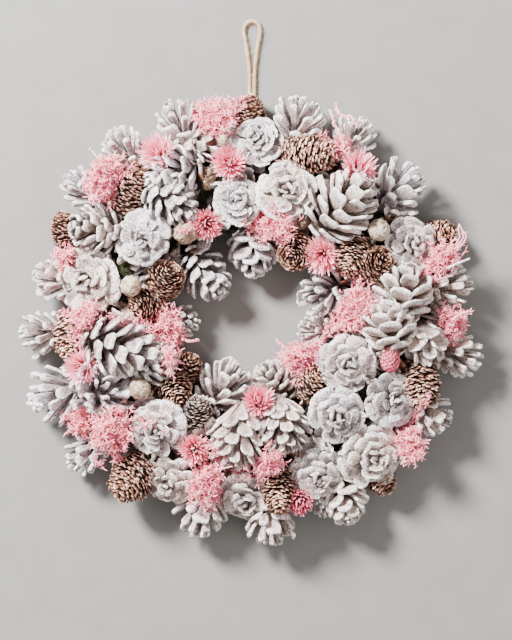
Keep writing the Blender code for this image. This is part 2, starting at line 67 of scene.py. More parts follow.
# Hanging loop
# Three plies of raw jute, twisted into a 3.6 mm string, doubled and knotted to the ring
# below the cones. Both ends go into the foliage at the top, and stray fibres stand off it.
STRING_DIAMETER = 3.6 * MM
STRING_PITCH = 11 * MM
STRING_STEP = 0.9 * MM
STRINGS_APART = 0.5 * MM
STRING_LIFT = 0.3 * MM
STRING_LEAVES = 158 * MM
LOOP_TOP = 268 * MM
LOOP_BEND = 7.2 * MM
CURVE_PARTS = 12
PLY_RADIUS = 0.84 * MM
PLY_ORBIT = 0.95 * MM
PLY_SIDES = 8
FIBRES = 520
FIBRE_RADIUS = 0.09 * MM
FIBRE_LENGTHS = (1.5, 6.0)
FIBRE_PLACES = (0.0, 0.35, 0.7, 1.0)
FIBRE_TAPER = 0.6
FLOOR_GAP = 0.15 * MM
UP = Vector((0, 0, 1))
JUTE_PALE = "#DEC7A6"
JUTE_DEEP = "#A98456"
# The solids' middle, which the loop's own route is measured from.
ring_low, ring_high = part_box("base_ring")
HUB = Vector(((ring_low[0] + ring_high[0]) / 2, (ring_low[1] + ring_high[1]) / 2, 0))


def linear(colour):
    """The linear values of an sRGB hex colour, with an alpha of one."""
    parts = [int(colour[k:k + 2], 16) / 255 for k in (1, 3, 5)]
    return [p / 12.92 if p <= 0.04045 else ((p + 0.055) / 1.055) ** 2.4 for p in parts] + [1.0]


def connect(node, inputs):
    """Sets or links a node's inputs, from values, hex colours, sockets or nodes' outputs."""
    for key, value in inputs.items():
        if isinstance(value, bpy.types.Node):
            value = next(socket for socket in value.outputs if socket.enabled)
        if isinstance(value, bpy.types.NodeSocket):
            node.id_data.links.new(value, node.inputs[key])
        else:
            node.inputs[key].default_value = linear(value) if isinstance(value, str) else value


def add_node(tree, kind, inputs=None, stops=None, **settings):
    """Adds a node with its settings, links and ramp. A Mix node's colours are 6 and 7."""
    node = tree.nodes.new("ShaderNode" + kind)
    for field, value in settings.items():
        setattr(node, field, value)
    connect(node, inputs or {})
    if stops:
        ramp = node.color_ramp.elements
        while len(ramp) < len(stops):
            ramp.new(1.0)
        for element, (place, colour) in zip(ramp, stops):
            element.position = place
            element.color = linear(colour)
    return node


def new_material(name):
    """A material, its node tree, the place of a point in its piece, and its shader."""
    made = bpy.data.materials.new(name)
    made.use_nodes = True
    where = add_node(made.node_tree, "TexCoord").outputs["Object"]
    return made, made.node_tree, where, made.node_tree.nodes["Principled BSDF"]


def tube(points, radii, sides):
    """A closed round tube through points: its points and faces, and how far along each is."""
    spots, faces, along = [], [], []
    side = None
    last = len(points) - 1
    for k, point in enumerate(points):
        ahead = (points[min(k + 1, last)] - points[max(k - 1, 0)]).normalized()
        side = ahead.orthogonal() if side is None else side - ahead * side.dot(ahead)
        side.normalize()
        up = ahead.cross(side)
        for corner in range(sides):
            angle = math.tau * corner / sides
            spots.append(point + (side * math.cos(angle) + up * math.sin(angle)) * radii[k])
            along.append(k / last)
    for k in range(last):
        for corner in range(sides):
            a, b = k * sides + corner, k * sides + (corner + 1) % sides
            faces.append((a, b, b + sides, a + sides))
    faces.append(tuple(reversed(range(sides))))
    faces.append(tuple(range(last * sides, last * sides + sides)))
    return spots, faces, along


def gather(mesh, part):
    """Adds one tube's points and faces to those of a growing mesh."""
    spots, faces = mesh
    faces += [tuple(i + len(spots) for i in face) for face in part[1]]
    spots += part[0]


def piece_of(name, spots, faces, attributes=None):
    """A smooth mesh object with its place in its mesh, and its points' attributes."""
    data = bpy.data.meshes.new(name)
    data.from_pydata([tuple(s) for s in spots], [], faces)
    for label, values in (attributes or {}).items():
        layer = data.attributes.new(label, "FLOAT", "POINT")
        layer.data.foreach_set("value", np.asarray(values, dtype=np.float32))
    data.polygons.foreach_set("use_smooth", [True] * len(data.polygons))
    made = bpy.data.objects.new(name, data)
    bpy.context.scene.collection.objects.link(made)
    return made


def attach(part, node=None):
    """Lets a piece ride on the body, and replace its solid if it has one."""
    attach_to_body(part, "root")
    if node:
        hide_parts(node)


def string_route():
    """The route of the doubled string: out of the ring, up, round the bend and back."""
    lay = STRING_DIAMETER / 2 + STRING_LIFT
    beside = (STRING_DIAMETER + STRINGS_APART) / 2
    leave = math.sqrt(STRING_LEAVES ** 2 - beside ** 2) + 0.4 * MM
    bend_y = LOOP_TOP - STRING_DIAMETER / 2 - LOOP_BEND
    left = [(-beside, leave, 6 * MM), (-beside, leave + 10 * MM, 4.8 * MM),
            (-beside, leave + 26 * MM, lay), (-beside, 206 * MM, lay),
            (-beside - 0.4 * MM, 222 * MM, lay), (-0.62 * LOOP_BEND, 240 * MM, lay),
            (-LOOP_BEND, bend_y - 3 * MM, lay)]
    turn = [(-LOOP_BEND * math.cos(math.pi * k / 6),
             bend_y + LOOP_BEND * math.sin(math.pi * k / 6), lay) for k in range(1, 6)]
    spots = [Vector(s) for s in left + turn + [(-x, y, z) for x, y, z in reversed(left)]]
    padded = [spots[0] * 2 - spots[1]] + spots + [spots[-1] * 2 - spots[-2]]
    fine = []
    for k in range(1, len(padded) - 2):
        a, b, c, d = padded[k - 1:k + 3]
        for part in range(CURVE_PARTS):
            t = part / CURVE_PARTS
            fine.append(0.5 * (2 * b + (c - a) * t + (2 * a - 5 * b + 4 * c - d) * t * t
                               + (3 * b - a - 3 * c + d) * t * t * t))
    return [spot + HUB for spot in fine + [spots[-1]]]


def resample(points, step):
    """Points a step apart along a route, and the route's length."""
    lengths = np.cumsum([0.0] + [(b - a).length for a, b in zip(points, points[1:])])
    goals = np.linspace(0, lengths[-1], int(lengths[-1] / step) + 1)
    even = np.stack([np.interp(goals, lengths, [p[k] for p in points]) for k in range(3)], 1)
    return [Vector(p) for p in even], float(lengths[-1])


route, string_length = resample(string_route(), STRING_STEP)
mesh = [], []
for ply in range(3):
    strand = []
    for k, point in enumerate(route):
        ahead = (route[min(k + 1, len(route) - 1)] - route[max(k - 1, 0)]).normalized()
        side = ahead.cross(UP).normalized()
        up = side.cross(ahead)
        angle = math.tau * (ply / 3 + k * STRING_STEP / STRING_PITCH)
        strand.append(point + (side * math.cos(angle) + up * math.sin(angle)) * PLY_ORBIT)
    gather(mesh, tube(strand, [PLY_RADIUS] * len(strand), PLY_SIDES))
jute_string = piece_of("jute_string", *mesh)

# Raw jute fibre, spun and unwaxed: pale straw outside and browner between the plies, quite
# rough, with single fibres about a tenth of a millimetre thick, drawn as 0.4 mm streaks.
jute, tree, where, shader = new_material("Raw jute twine")
streaks = add_node(tree, "TexNoise", {"Vector": where, "Scale": 2400.0, "Detail": 2.0})
patches = add_node(tree, "TexNoise", {"Vector": where, "Scale": 160.0, "Detail": 2.0})
blend = add_node(tree, "Math", {0: streaks, 1: patches}, operation="ADD")
shades = add_node(tree, "MapRange", {"Value": blend, "From Min": 0.7, "From Max": 1.3})
colour = add_node(tree, "ValToRGB", {"Fac": shades}, stops=[(0.0, JUTE_DEEP), (1.0, JUTE_PALE)])
relief = add_node(tree, "Bump", {"Height": streaks, "Strength": 0.6, "Distance": 0.3 * MM})
connect(shader, {"Base Color": colour, "Normal": relief, "Roughness": 0.9, "IOR": 1.5})
jute_string.data.materials.append(jute)

draw = random.Random("jute fibres")
mesh = [], []
for _ in range(FIBRES):
    k = draw.randrange(6, len(route) - 6)
    ahead = (route[k + 1] - route[k]).normalized()
    side = ahead.cross(UP).normalized()
    around = draw.uniform(-0.15, 1.15) * math.pi
    out = side * math.cos(around) + side.cross(ahead) * math.sin(around)
    length = draw.uniform(*FIBRE_LENGTHS) * MM
    lean = ahead * draw.choice((-1, 1)) * draw.uniform(0.6, 1.6)
    fibre = [route[k] + out * (1.5 * MM) + (out * t + lean * t * t) * length * 0.6
             for t in FIBRE_PLACES]
    gather(mesh, tube(fibre, [FIBRE_RADIUS * (1 - FIBRE_TAPER * t) for t in FIBRE_PLACES], 3))
spots = [Vector((s.x, s.y, max(s.z, FLOOR_GAP))) for s in mesh[0]]
jute_fibres = piece_of("jute_fibres", spots, mesh[1])
jute_fibres.data.materials.append(jute)
attach(jute_string, "hanging_loop")
attach(jute_fibres)

# Base ring
# A straw ring 76 mm wide and 32 mm high, flat behind and bound with dark green moss and
# fine green wire. It shows only in gaps between the cones, at the back and in the hole.
RING_MIDDLE = 120 * MM
RING_HALF_WIDTH = 37.4 * MM
RING_HEIGHT = 31.4 * MM
RING_SIDES = 28
RING_STEPS = 120
CLUMP_SPREAD = 9 * MM
CLUMP_HEIGHT = 5 * MM
MOSS_BLADES = 3000
BLADE_HEIGHTS = (3, 7)
BLADE_RADII = (0.6 * MM, 0.5 * MM, 0.15 * MM)
BLADE_FLOOR = 1.0 * MM
BINDINGS = 36
BINDING_PARTS = 32
BINDING_RADIUS = 0.4 * MM
BINDING_SLANT = math.radians(1.6)
OLIVE_DEPTH_SHADE = "#14150A"
OLIVE = "#2B2D14"
OLIVE_TIP = "#4A4E2A"


def scatter(draw):
    """A random vector, each of its parts between minus one and one."""
    return Vector([draw.uniform(-1, 1) for _ in range(3)])


def pick_points(part, wanted):
    """Selects the points of the part in edit mode whose places are wanted, and no others."""
    bpy.ops.mesh.select_mode(type="VERT")
    bpy.ops.mesh.select_all(action="DESELECT")
    bpy.ops.object.mode_set(mode="OBJECT")
    for v in part.data.vertices:
        v.select = bool(wanted(v.co))
    bpy.ops.object.mode_set(mode="EDIT")


bpy.ops.mesh.primitive_circle_add(vertices=RING_SIDES, radius=1.0, fill_type="NOTHING",
                                  rotation=(math.pi / 2, 0, 0))
ring = bpy.context.object
ring.name = "ring_of_moss"
bpy.ops.object.transform_apply(location=True, rotation=True, scale=True)
bpy.ops.object.mode_set(mode="EDIT")
bpy.ops.transform.resize(value=(RING_HALF_WIDTH, 1, RING_HEIGHT), center_override=(0, 0, 0))
bpy.ops.transform.translate(value=(RING_MIDDLE, 0, 0))
# The lower half of the section goes, and its two ends are joined by a flat back.
pick_points(ring, lambda spot: spot.z < -0.1 * MM)
bpy.ops.mesh.delete(type="VERT")
pick_points(ring, lambda spot: spot.z < 0.1 * MM)
bpy.ops.mesh.edge_face_add()
bpy.ops.mesh.subdivide(number_cuts=6)
bpy.ops.mesh.select_all(action="SELECT")
bpy.ops.mesh.spin(steps=RING_STEPS, angle=math.tau, center=(0, 0, 0), axis=(0, 0, 1))
bpy.ops.mesh.select_all(action="SELECT")
bpy.ops.mesh.remove_doubles(threshold=0.02 * MM)
bpy.ops.mesh.normals_make_consistent(inside=False)
bpy.ops.object.mode_set(mode="OBJECT")
dome = ring.vertex_groups.new(name="dome")
dome.add([v.index for v in ring.data.vertices if v.co.z > 2 * MM], 1.0, "REPLACE")
for v in ring.data.vertices:
    v.co += Vector((HUB.x, HUB.y, 0))
clumps = bpy.data.textures.new("moss clumps", "CLOUDS")
clumps.noise_scale = CLUMP_SPREAD
lumpy = ring.modifiers.new("clumps", "DISPLACE")
lumpy.texture = clumps
lumpy.texture_coords = "LOCAL"
lumpy.vertex_group = "dome"
lumpy.mid_level = 0.75
lumpy.strength = CLUMP_HEIGHT
bpy.ops.object.modifier_apply(modifier="clumps")
bpy.ops.object.shade_smooth()

# Preserved flat moss wrapped over straw: fully matt, with stems under a millimetre thick. It is
# painted nearly black green where its bump is low, a painted shade in its depths, and paler olive
# where it is high.
moss_green, tree, where, shader = new_material("Dark green flat moss")
clumped = add_node(tree, "TexNoise", {"Vector": where, "Scale": 120.0, "Detail": 4.0})
stems = add_node(tree, "TexVoronoi", {"Vector": where, "Scale": 650.0})
mixed = add_node(tree, "Math", {0: stems, 1: clumped}, operation="MULTIPLY")
# Darkest where the bump is low: painted shade in the moss's depths.
colour = add_node(tree, "ValToRGB", {"Fac": mixed},
                  stops=[(0.05, OLIVE_DEPTH_SHADE), (0.3, OLIVE), (0.62, OLIVE_TIP)])
relief = add_node(tree, "Bump", {"Height": stems, "Strength": 0.9, "Distance": 1.0 * MM})
connect(shader, {"Base Color": colour, "Normal": relief, "Roughness": 0.95})
ring.data.materials.append(moss_green)

draw = random.Random("ring moss")
mesh = [], []
for _ in range(MOSS_BLADES):
    around, arch = draw.uniform(0, math.tau), draw.uniform(0.03, 0.97) * math.pi
    out = Vector((math.cos(around), math.sin(around), 0))
    across = -math.cos(arch)
    foot = HUB + out * (RING_MIDDLE + RING_HALF_WIDTH * across)
    foot.z = (RING_HEIGHT - 1.5 * MM) * math.sin(arch)
    rise = (out * across * 0.8 + UP * math.sin(arch)).normalized()
    drift = scatter(draw) * 0.9
    height = draw.uniform(*BLADE_HEIGHTS) * MM
    blade = [foot + (rise * t + drift * t * t) * height for t in (0.0, 0.5, 1.0)]
    blade = [Vector((p.x, p.y, max(p.z, BLADE_FLOOR))) for p in blade]
    gather(mesh, tube(blade, BLADE_RADII, 3))
blades = piece_of("ring_moss_stems", *mesh)
blades.data.materials.append(moss_green)

mesh = [], []
for turn in range(BINDINGS):
    around = math.tau * turn / BINDINGS
    loop = []
    for k in range(BINDING_PARTS + 1):
        arch = math.tau * k / BINDING_PARTS
        heading = around + BINDING_SLANT * math.sin(arch)
        out = Vector((math.cos(heading), math.sin(heading), 0))
        lift = max(math.sin(arch), 0.0) * (RING_HEIGHT + 0.2 * MM) + 0.45 * MM
        loop.append(HUB + out * (RING_MIDDLE - RING_HALF_WIDTH * 1.004 * math.cos(arch))
                    + UP * lift)
    gather(mesh, tube(loop, [BINDING_RADIUS] * len(loop), 5))
bindings = piece_of("ring_binding_wire", *mesh)

# Florist's wire with a baked green lacquer, scuffed back to steel here and there.
lacquer, tree, where, shader = new_material("Green lacquered florist's wire")
scuffs = add_node(tree, "TexNoise", {"Vector": where, "Scale": 700.0, "Detail": 3.0})
colour = add_node(tree, "ValToRGB", {"Fac": scuffs},
                  stops=[(0.4, "#1E3A20"), (0.62, "#35552F"), (0.74, "#7C7F76")])
connect(shader, {"Base Color": colour, "Roughness": 0.45})
bindings.data.materials.append(lacquer)
for part in (ring, blades, bindings):
    attach(part, "base_ring")

# Whitewashed cones
# Open pine cones of 30 to 66 mm, dipped in matt white wash and wired to the ring. Their
# woody scales grow in spirals from a core. Some face the viewer like a rose, some point
# outward like a hand of short fingers, and the rest lie on their side and show flat straps.
WHITE_CONES = {
    # Across, up the picture, width, length, heading, rise toward the viewer, and style.
    "white_cones_01": [(-65, 172, 39, 44, None, 15, "hand"), (-46, 155, 32, 53, 5, 12, "strap"),
                       (-65, 132, 40, 51, 200, 15, "strap"), (-70, 100, 39, 49, 320, 15, "strap")],
    "white_cones_02": [(-113, 148, 40, 44, None, 15, "hand")],
    "white_cones_03": [(-146, 114, 39, 44, None, 15, "hand"), (-137, 78, 40, 48, 175, 25, "strap"),
                       (-96, 70, 48, 40, 150, 80, "rose"), (-142, 33, 57, 44, 170, 75, "rose"),
                       (-176, 36, 39, 44, None, 15, "hand")],
    "white_cones_04": [(-185, -11, 40, 40, None, 15, "hand")],
    "white_cones_05": [(-83, -46, 32, 39, 30, 20, "strap"), (-109, -25, 48, 63, 345, 12, "strap"),
                       (-130, -65, 53, 46, 40, 60, "hand"), (-174, -65, 52, 52, None, 15, "hand")],
    "white_cones_06": [(-146, -121, 36, 42, None, 15, "hand")],
    "white_cones_07": [(-82, -96, 49, 42, 230, 75, "rose"), (-71, -143, 46, 42, 245, 60, "rose"),
                       (-45, -173, 46, 44, None, 15, "hand"), (-7, -159, 51, 42, 265, 55, "rose"),
                       (19, -181, 46, 44, None, 15, "hand")],
    "white_cones_08": [(-25, -58, 46, 52, 60, 35, "hand"), (-14, -105, 48, 56, 262, 15, "shingle"),
                       (31, -93, 44, 49, 283, 15, "shingle"), (21, -54, 37, 40, 120, 30, "strap")],
    "white_cones_09": [(58, -136, 49, 42, 290, 70, "rose"), (105, -120, 57, 44, 310, 68, "rose"),
                       (83, -163, 37, 42, 285, 25, "plate"), (58, -169, 24, 30, None, 15, "hand")],
    "white_cones_10": [(86, -37, 51, 42, 330, 80, "rose"), (73, -85, 49, 42, 310, 75, "rose"),
                       (121, -72, 49, 42, 330, 70, "rose"), (158, -84, 39, 44, None, 15, "hand")],
    "white_cones_11": [(176, 30, 40, 46, None, 15, "hand"), (130, 23, 49, 48, 80, 20, "plate"),
                       (120, -9, 44, 46, 100, 20, "plate"), (151, -22, 31, 34, 290, 22, "closed"),
                       (180, -32, 40, 46, None, 15, "hand")],
    "white_cones_12": [(129, 114, 49, 49, 45, 30, "hand"), (140, 65, 51, 40, 25, 70, "rose")],
    "white_cones_13": [(92, 160, 37, 40, None, 15, "hand")],
    "white_cones_14": [(42, 176, 50, 44, None, 15, "hand"), (4, 155, 46, 40, 90, 68, "rose"),
                       (29, 114, 53, 44, 80, 80, "rose"), (-16, 103, 44, 39, 100, 85, "rose"),
                       (81, 97, 51, 63, 50, 20, "strap")],
    "white_cones_15": [(2, 62, 40, 44, 270, 15, "plate")],
    "white_cones_16": [(-42, 42, 38, 52, 310, 20, "strap"), (-56, -5, 26, 30, 340, 40, "hand")],
    "white_cones_17": [(63, 23, 44, 48, 200, 40, "hand"), (54, -14, 31, 34, 165, 25, "hand")],
}
# One scale of each style along its length: how far along, how much it curls toward the
# cone's tip, its width and its thickness, all in millimetres.
SCALE_FORMS = {
    "rose": [(0, 0, 5.0, 2.2), (5, 0.9, 7.5, 2.4), (10, 1.3, 10.4, 2.8), (15, 1.2, 12.8, 3.3),
             (18.5, 0.7, 13.4, 3.7), (20.6, 0.1, 11.8, 3.4), (21.9, -0.4, 8.6, 2.6),
             (22.4, -0.6, 4.6, 1.4)],
    "shell": [(0, 0, 5.0, 2.2), (5, 0.8, 8.5, 2.4), (10, 0.9, 12.0, 2.6), (14, 0.7, 14.4, 2.9),
              (17.5, 0.5, 14.6, 3.1), (19.8, 0.6, 12.8, 3.0), (21.3, 0.8, 9.2, 2.4),
              (21.9, 1.0, 4.8, 1.4)],
    "hand": [(0, 0, 3.6, 2.6), (7, -0.3, 5.2, 2.8), (14, -0.7, 6.2, 3.2), (19, -0.8, 7.2, 4.0),
             (22.6, -0.5, 8.2, 4.8), (24.6, -0.2, 7.8, 4.4), (25.6, 0.0, 6.2, 3.2),
             (25.9, 0.1, 3.6, 1.6)],
    "strap": [(0, 0, 4.5, 2.4), (7, -0.6, 9.0, 2.6), (13, -1.0, 13.0, 3.0), (18, -0.8, 15.4, 3.4),
              (22, -0.2, 16.0, 3.8), (25.0, 0.3, 15.2, 3.6), (26.2, 0.7, 12.6, 2.6),
              (26.6, 0.9, 8.6, 1.2)],
    "plate": [(0, 0, 6.0, 2.4), (6, -0.2, 9.5, 2.6), (11, -0.3, 13.0, 3.0), (15, 0.2, 15.4, 3.4),
              (18, 0.9, 15.4, 3.8), (20.4, 1.5, 13.8, 3.4), (21.4, 1.9, 10.8, 2.2),
              (21.7, 2.1, 7.0, 1.0)],
    "shingle": [(0, 0, 3.0, 2.4), (8, 0.4, 5.5, 2.6), (14, 0.5, 9.0, 3.0), (19, 0.4, 12.0, 3.2),
                (23, 0.0, 13.0, 3.0), (25.4, -0.5, 11.2, 2.4), (26.6, -0.9, 6.5, 1.2)],
    "closed": [(0, 0, 8.0, 3.0), (6, 1.0, 13.0, 3.0), (12, 1.3, 16.0, 3.2), (17, 0.7, 15.0, 3.2),
               (20, -0.3, 11.0, 2.4), (21.6, -1.1, 5.0, 1.2)],
}
# How far a scale's rims turn up, in millimetres, and in which two steps: the share of that,
# and beyond which share of the half width and of the length they start.
SCALE_CUP = {"rose": -0.7, "shell": 1.2, "hand": -0.6, "strap": 0.9, "plate": -0.7,
             "shingle": -1.2, "closed": -2.0}
CUP_STEPS = ((0.45, 0.3, 0.25), (0.55, 0.44, 0.45))
# How scales sit on each style of cone: how many, the widest scale as a share of the cone's
# width, how much larger the cone is than its solid's nominal size, across and along, and how
# far out the dark root shows: bare wood, painted darker as painted shade between the scales.
CONE_STYLES = {
    "rose": (25, 0.365, 1.08, 1.0, 1.8),
    "hand": (29, 0.18, 1.04, 1.02, 1.3),
    "strap": (42, 0.29, 1.20, 1.12, 2.1),
    "plate": (34, 0.40, 1.16, 1.10, 1.6),
    "shingle": (43, 0.25, 1.10, 1.04, 1.0),
    "closed": (15, 0.66, 1.04, 1.04, 0.6),
}
# How far from the axis the scales are rooted, as a share of the cone's width: near it, or well
# out where they lie on the cone.
ROOT_OUT = 0.06
CLOSED_ROOT_OUT = 0.34
# A cone's core: how far below its middle it starts, as a share of its length, and its width
# and its length as shares of the cone's.
OPEN_CORE = (0.44, 0.24, 0.74)
# The outline of a cone, from its first scale to its last: how far out a scale's tip is, as a
# share of half the width, and how far up its tip and its root are, as shares of the length.
ROSE_OUTLINE = ((0.0, 1.0, -0.09, -0.18), (0.38, 0.95, 0.01, -0.10), (0.42, 0.76, 0.08, -0.02),
                (0.66, 0.66, 0.13, 0.03), (0.7, 0.46, 0.18, 0.09), (0.88, 0.34, 0.23, 0.14),
                (1.0, 0.12, 0.29, 0.18))
LONG_OUTLINE = ((0.0, 0.42, -0.50, -0.46), (0.1, 0.84, -0.36, -0.42), (0.26, 1.0, -0.14, -0.34),
                (0.5, 0.96, 0.12, -0.18), (0.7, 0.76, 0.32, -0.02), (0.88, 0.42, 0.46, 0.12),
                (1.0, 0.10, 0.51, 0.24))
HAND_OUTLINE = ((0.0, 0.60, -0.40, -0.50), (0.15, 0.92, -0.20, -0.48), (0.35, 1.0, 0.04, -0.38),
                (0.6, 0.90, 0.28, -0.24), (0.8, 0.60, 0.44, -0.10), (1.0, 0.12, 0.52, 0.06))
CLOSED_OUTLINE = ((0.0, 1.0, -0.10, -0.56), (0.3, 1.0, 0.12, -0.40), (0.65, 0.72, 0.36, -0.12),
                  (1.0, 0.10, 0.50, 0.14))
SHINGLE_OUTLINE = ((0.0, 0.70, -0.22, -0.56), (0.15, 0.90, -0.08, -0.52),
                   (0.35, 1.0, 0.08, -0.42), (0.6, 0.94, 0.28, -0.24),
                   (0.8, 0.66, 0.44, -0.06), (1.0, 0.14, 0.52, 0.12))
OUTLINES = {"rose": ROSE_OUTLINE, "hand": HAND_OUTLINE, "strap": LONG_OUTLINE,
            "plate": LONG_OUTLINE, "shingle": SHINGLE_OUTLINE, "closed": CLOSED_OUTLINE}
GOLDEN_TURN = math.radians(137.5)
# The cones whose wash looks cream, and those where it looks a cool blue white.
WARM_CONES = ((81, 97), (130, 23), (120, -9), (151, -22), (29, 114), (-14, -105), (31, -93),
              (21, -54), (-137, 78), (-142, 33), (-46, 155), (-71, -143), (19, -181),
              (105, -120), (83, -163), (158, -84), (180, -32), (176, 30), (-176, 36))
COOL_CONES = ((129, 114), (-130, -65), (-96, 70), (2, 62), (-65, 132), (-70, 100), (-42, 42),
              (-83, -46), (-174, -65), (-146, -121), (73, -85), (121, -72), (4, 155),
              (-16, 103), (-146, 114), (63, 23))
# The cones whose heart is bare wood, and how much further out than elsewhere it is bare.
BARE_HEARTS = ((-137, 78),)
BARE_HEART = 14
# How unevenly an open cone grows: how far its scales' tips are from its outline as a share of
# the width and of the length, how many degrees they are off their spiral, and how much more so
# in the heart of a rose. A cone like a hand has a broad scale here and there.
GROWTH = {"hand": 0.16}
USUAL_GROWTH = 0.08
TIP_STRAY = 0.025
TURN_STRAY = 7
JUMBLED_FROM = 0.5
JUMBLED_TURN = 2
JUMBLED_BEND = 1.2
CLOSED_BEND = 0.3
BROAD_CHANCE = 0.18
BROAD_STRETCH = 1.8
# How much more crowded a rose may be, and the slimmest scale as a share of the widest.
ROSE_CROWD = 1.35
SLIMMEST = 0.38
# How much of the cream wash a plain cone has.
PLAIN_WARMTH = 0.4
WASH_COOL = "#D6D0D9"
WASH_WARM = "#F0D6C8"
WASH_GREY = "#8B7A7B"
# Painted shade in the scales' hollows: a cool lilac grey and a warm taupe.
WASH_HOLLOW_SHADE = "#6F626A"
WASH_WARM_HOLLOW_SHADE = "#7A635A"
# The cream white of the painted highlight on the scales' rims.
WASH_RIM_HIGHLIGHT = "#FFF9F6"
WASH_PIT = "#5F4A44"
CONE_WOOD = "#4C372D"
# Near black: painted shade between the scales' roots, over the bare wood.
CONE_HEART_AND_SHADE = "#24140E"


def direction(heading, rise):
    """A unit vector from a heading round the clock from +X and a rise toward the viewer."""
    flat = math.cos(math.radians(rise))
    turn = math.radians(heading)
    return Vector((flat * math.cos(turn), flat * math.sin(turn), math.sin(math.radians(rise))))


# How a piece stands that has no given axis: upright over the middle line of the ring, and
# this many degrees less so where it is a reach away from it.
LEAN = 62
LEAN_REACH = 78 * MM
# How far below the ring's surface nothing shows.
HIDDEN = 4 * MM
# How far some dressed pieces sit from their solids' middles: across, up the picture and
# toward the viewer, in millimetres.
NUDGES = {
    (4, 155): (-4, 1, 0), (29, 114): (-1, -2, 0), (86, -37): (0, -2, 0), (73, -85): (0, -2, 0),
    (121, -72): (2, 2, 0), (105, -120): (2, 0, 0), (58, -136): (-5, -3, 0), (140, 65): (0, -4, 0),
    (19, -181): (3, 0, 0), (23, -146): (0, 2, 0), (-33, 178): (-1, -5, 0),
    (-130, 118): (1.5, 1.5, 0), (-84, 147): (4, -5, 7), (-74, -13): (-2, 0, 0),
    (-40, 82): (1, 0, 0), (-21, 136): (1, 0, 0), (-164, 75): (-2, 0, 0), (-163, 55): (0, -2.5, 0),
    (86, 11): (2, -2, 0), (169, 49): (-5, 3, 0), (176, -4): (0, -3, 0), (44, -34): (2, -2, 0),
    (121, -35): (0, 2.5, 0), (140, -109): (-2, 0, 0), (12, -128): (3, -1, 0),
    (-158, -87): (4, -3, 0), (-128, -107): (4, 6, 0), (-106, -142): (4, 3, 0),
    (81, 97): (-1, 1, 0), (-144, -4): (0, 4, 0), (-160, -9): (-1, -3, 4), (-56, -42): (-4, -4, 0),
    (-69, -61): (-6, 2, 0), (-56, -5): (-6, 1, 0), (-71, -143): (-1, 3, 8), (-7, -159): (0, 4, 4),
    (4, -72): (2, -1, 6), (58, -169): (1, 5, 0), (116, -146): (-6, 9, 0), (149, -51): (-1, -5, 0),
    (151, -22): (-1, -2, 10), (63, 23): (4, 0, 0), (54, -14): (3, -2, 0), (77, 158): (1, -7, -3),
    (93, 135): (1, -6, 16), (92, 160): (-4, -1, 0), (42, 176): (1, 0, 0), (129, 114): (-1, 3, 0),
    (176, 30): (-3, 0, 4), (-174, -65): (0, -2, 0), (-146, -121): (2, 2, 0),
    (-185, -11): (1, -3, 0), (-130, -65): (2, 1, 2), (-151, -42): (2, -3, 7),
    (162, 74): (-1, -4, 0), (88, 55): (2, 3, 0), (108, 44): (-1, 2, 0), (16, 81): (2, 0, 0),
    (-2, 179): (0, -2, 0),
}


def seats(node, rows):
    """Where a node's pieces lie: the middle of the solid's points nearest to each row."""
    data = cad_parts[node].data
    points = np.empty(len(data.vertices) * 3, dtype=np.float32)
    data.vertices.foreach_get("co", points)
    points = np.unique(np.round(points.reshape(-1, 3), 6), axis=0)
    homes = np.array([(row[0] * MM + HUB.x, row[1] * MM + HUB.y) for row in rows])
    nearest = np.linalg.norm(points[:, None, :2] - homes[None], axis=-1).argmin(axis=1)
    return [Vector(points[nearest == k].mean(axis=0).tolist())
            + Vector(NUDGES.get(tuple(row[:2]), (0, 0, 0))) * MM for k, row in enumerate(rows)]


def in_ring(spot):
    """Whether a place is inside the ring's body, where nothing can be seen."""
    across = (math.hypot(spot.x - HUB.x, spot.y - HUB.y) - RING_MIDDLE) / RING_HALF_WIDTH
    return abs(across) < 1 and spot.z < RING_HEIGHT * math.sqrt(1 - across * across) - HIDDEN


def leaning(x, y, heading=None, rise=None, lean=LEAN):
    """A piece's axis: given, or away from the ring's middle line as the solids lean."""
    radius = math.hypot(x, y) * MM
    off = max(-1.0, min(1.0, (radius - RING_MIDDLE) / LEAN_REACH))
    outward = math.degrees(math.atan2(y, x))
    heading = (outward if off >= 0 else outward + 180) if heading is None else heading
    return direction(heading, 90 - lean * abs(off) if rise is None else rise)


# What the small unevenness of the scales is drawn from, the angle past which an edge of
# theirs stays crisp, and how far the grain is shifted from one copy to the next.
ROUGHNESS_SEED = 7
CRISP_ANGLE = math.radians(30)
GRAIN_SHIFT = (3.1, 1.7)


class Blank:
    """The mesh of one modelled part, from which copies are taken."""

    def __init__(self, part):
        data = part.data
        self.points = np.array([v.co for v in data.vertices])
        self.faces = [tuple(face.vertices) for face in data.polygons]
        low, high = self.points.min(axis=0), self.points.max(axis=0)
        self.length = high[1] - low[1]
        self.width = high[0] - low[0]
        self.along = (self.points[:, 1] - low[1]) / self.length
        bpy.data.objects.remove(part, do_unlink=True)


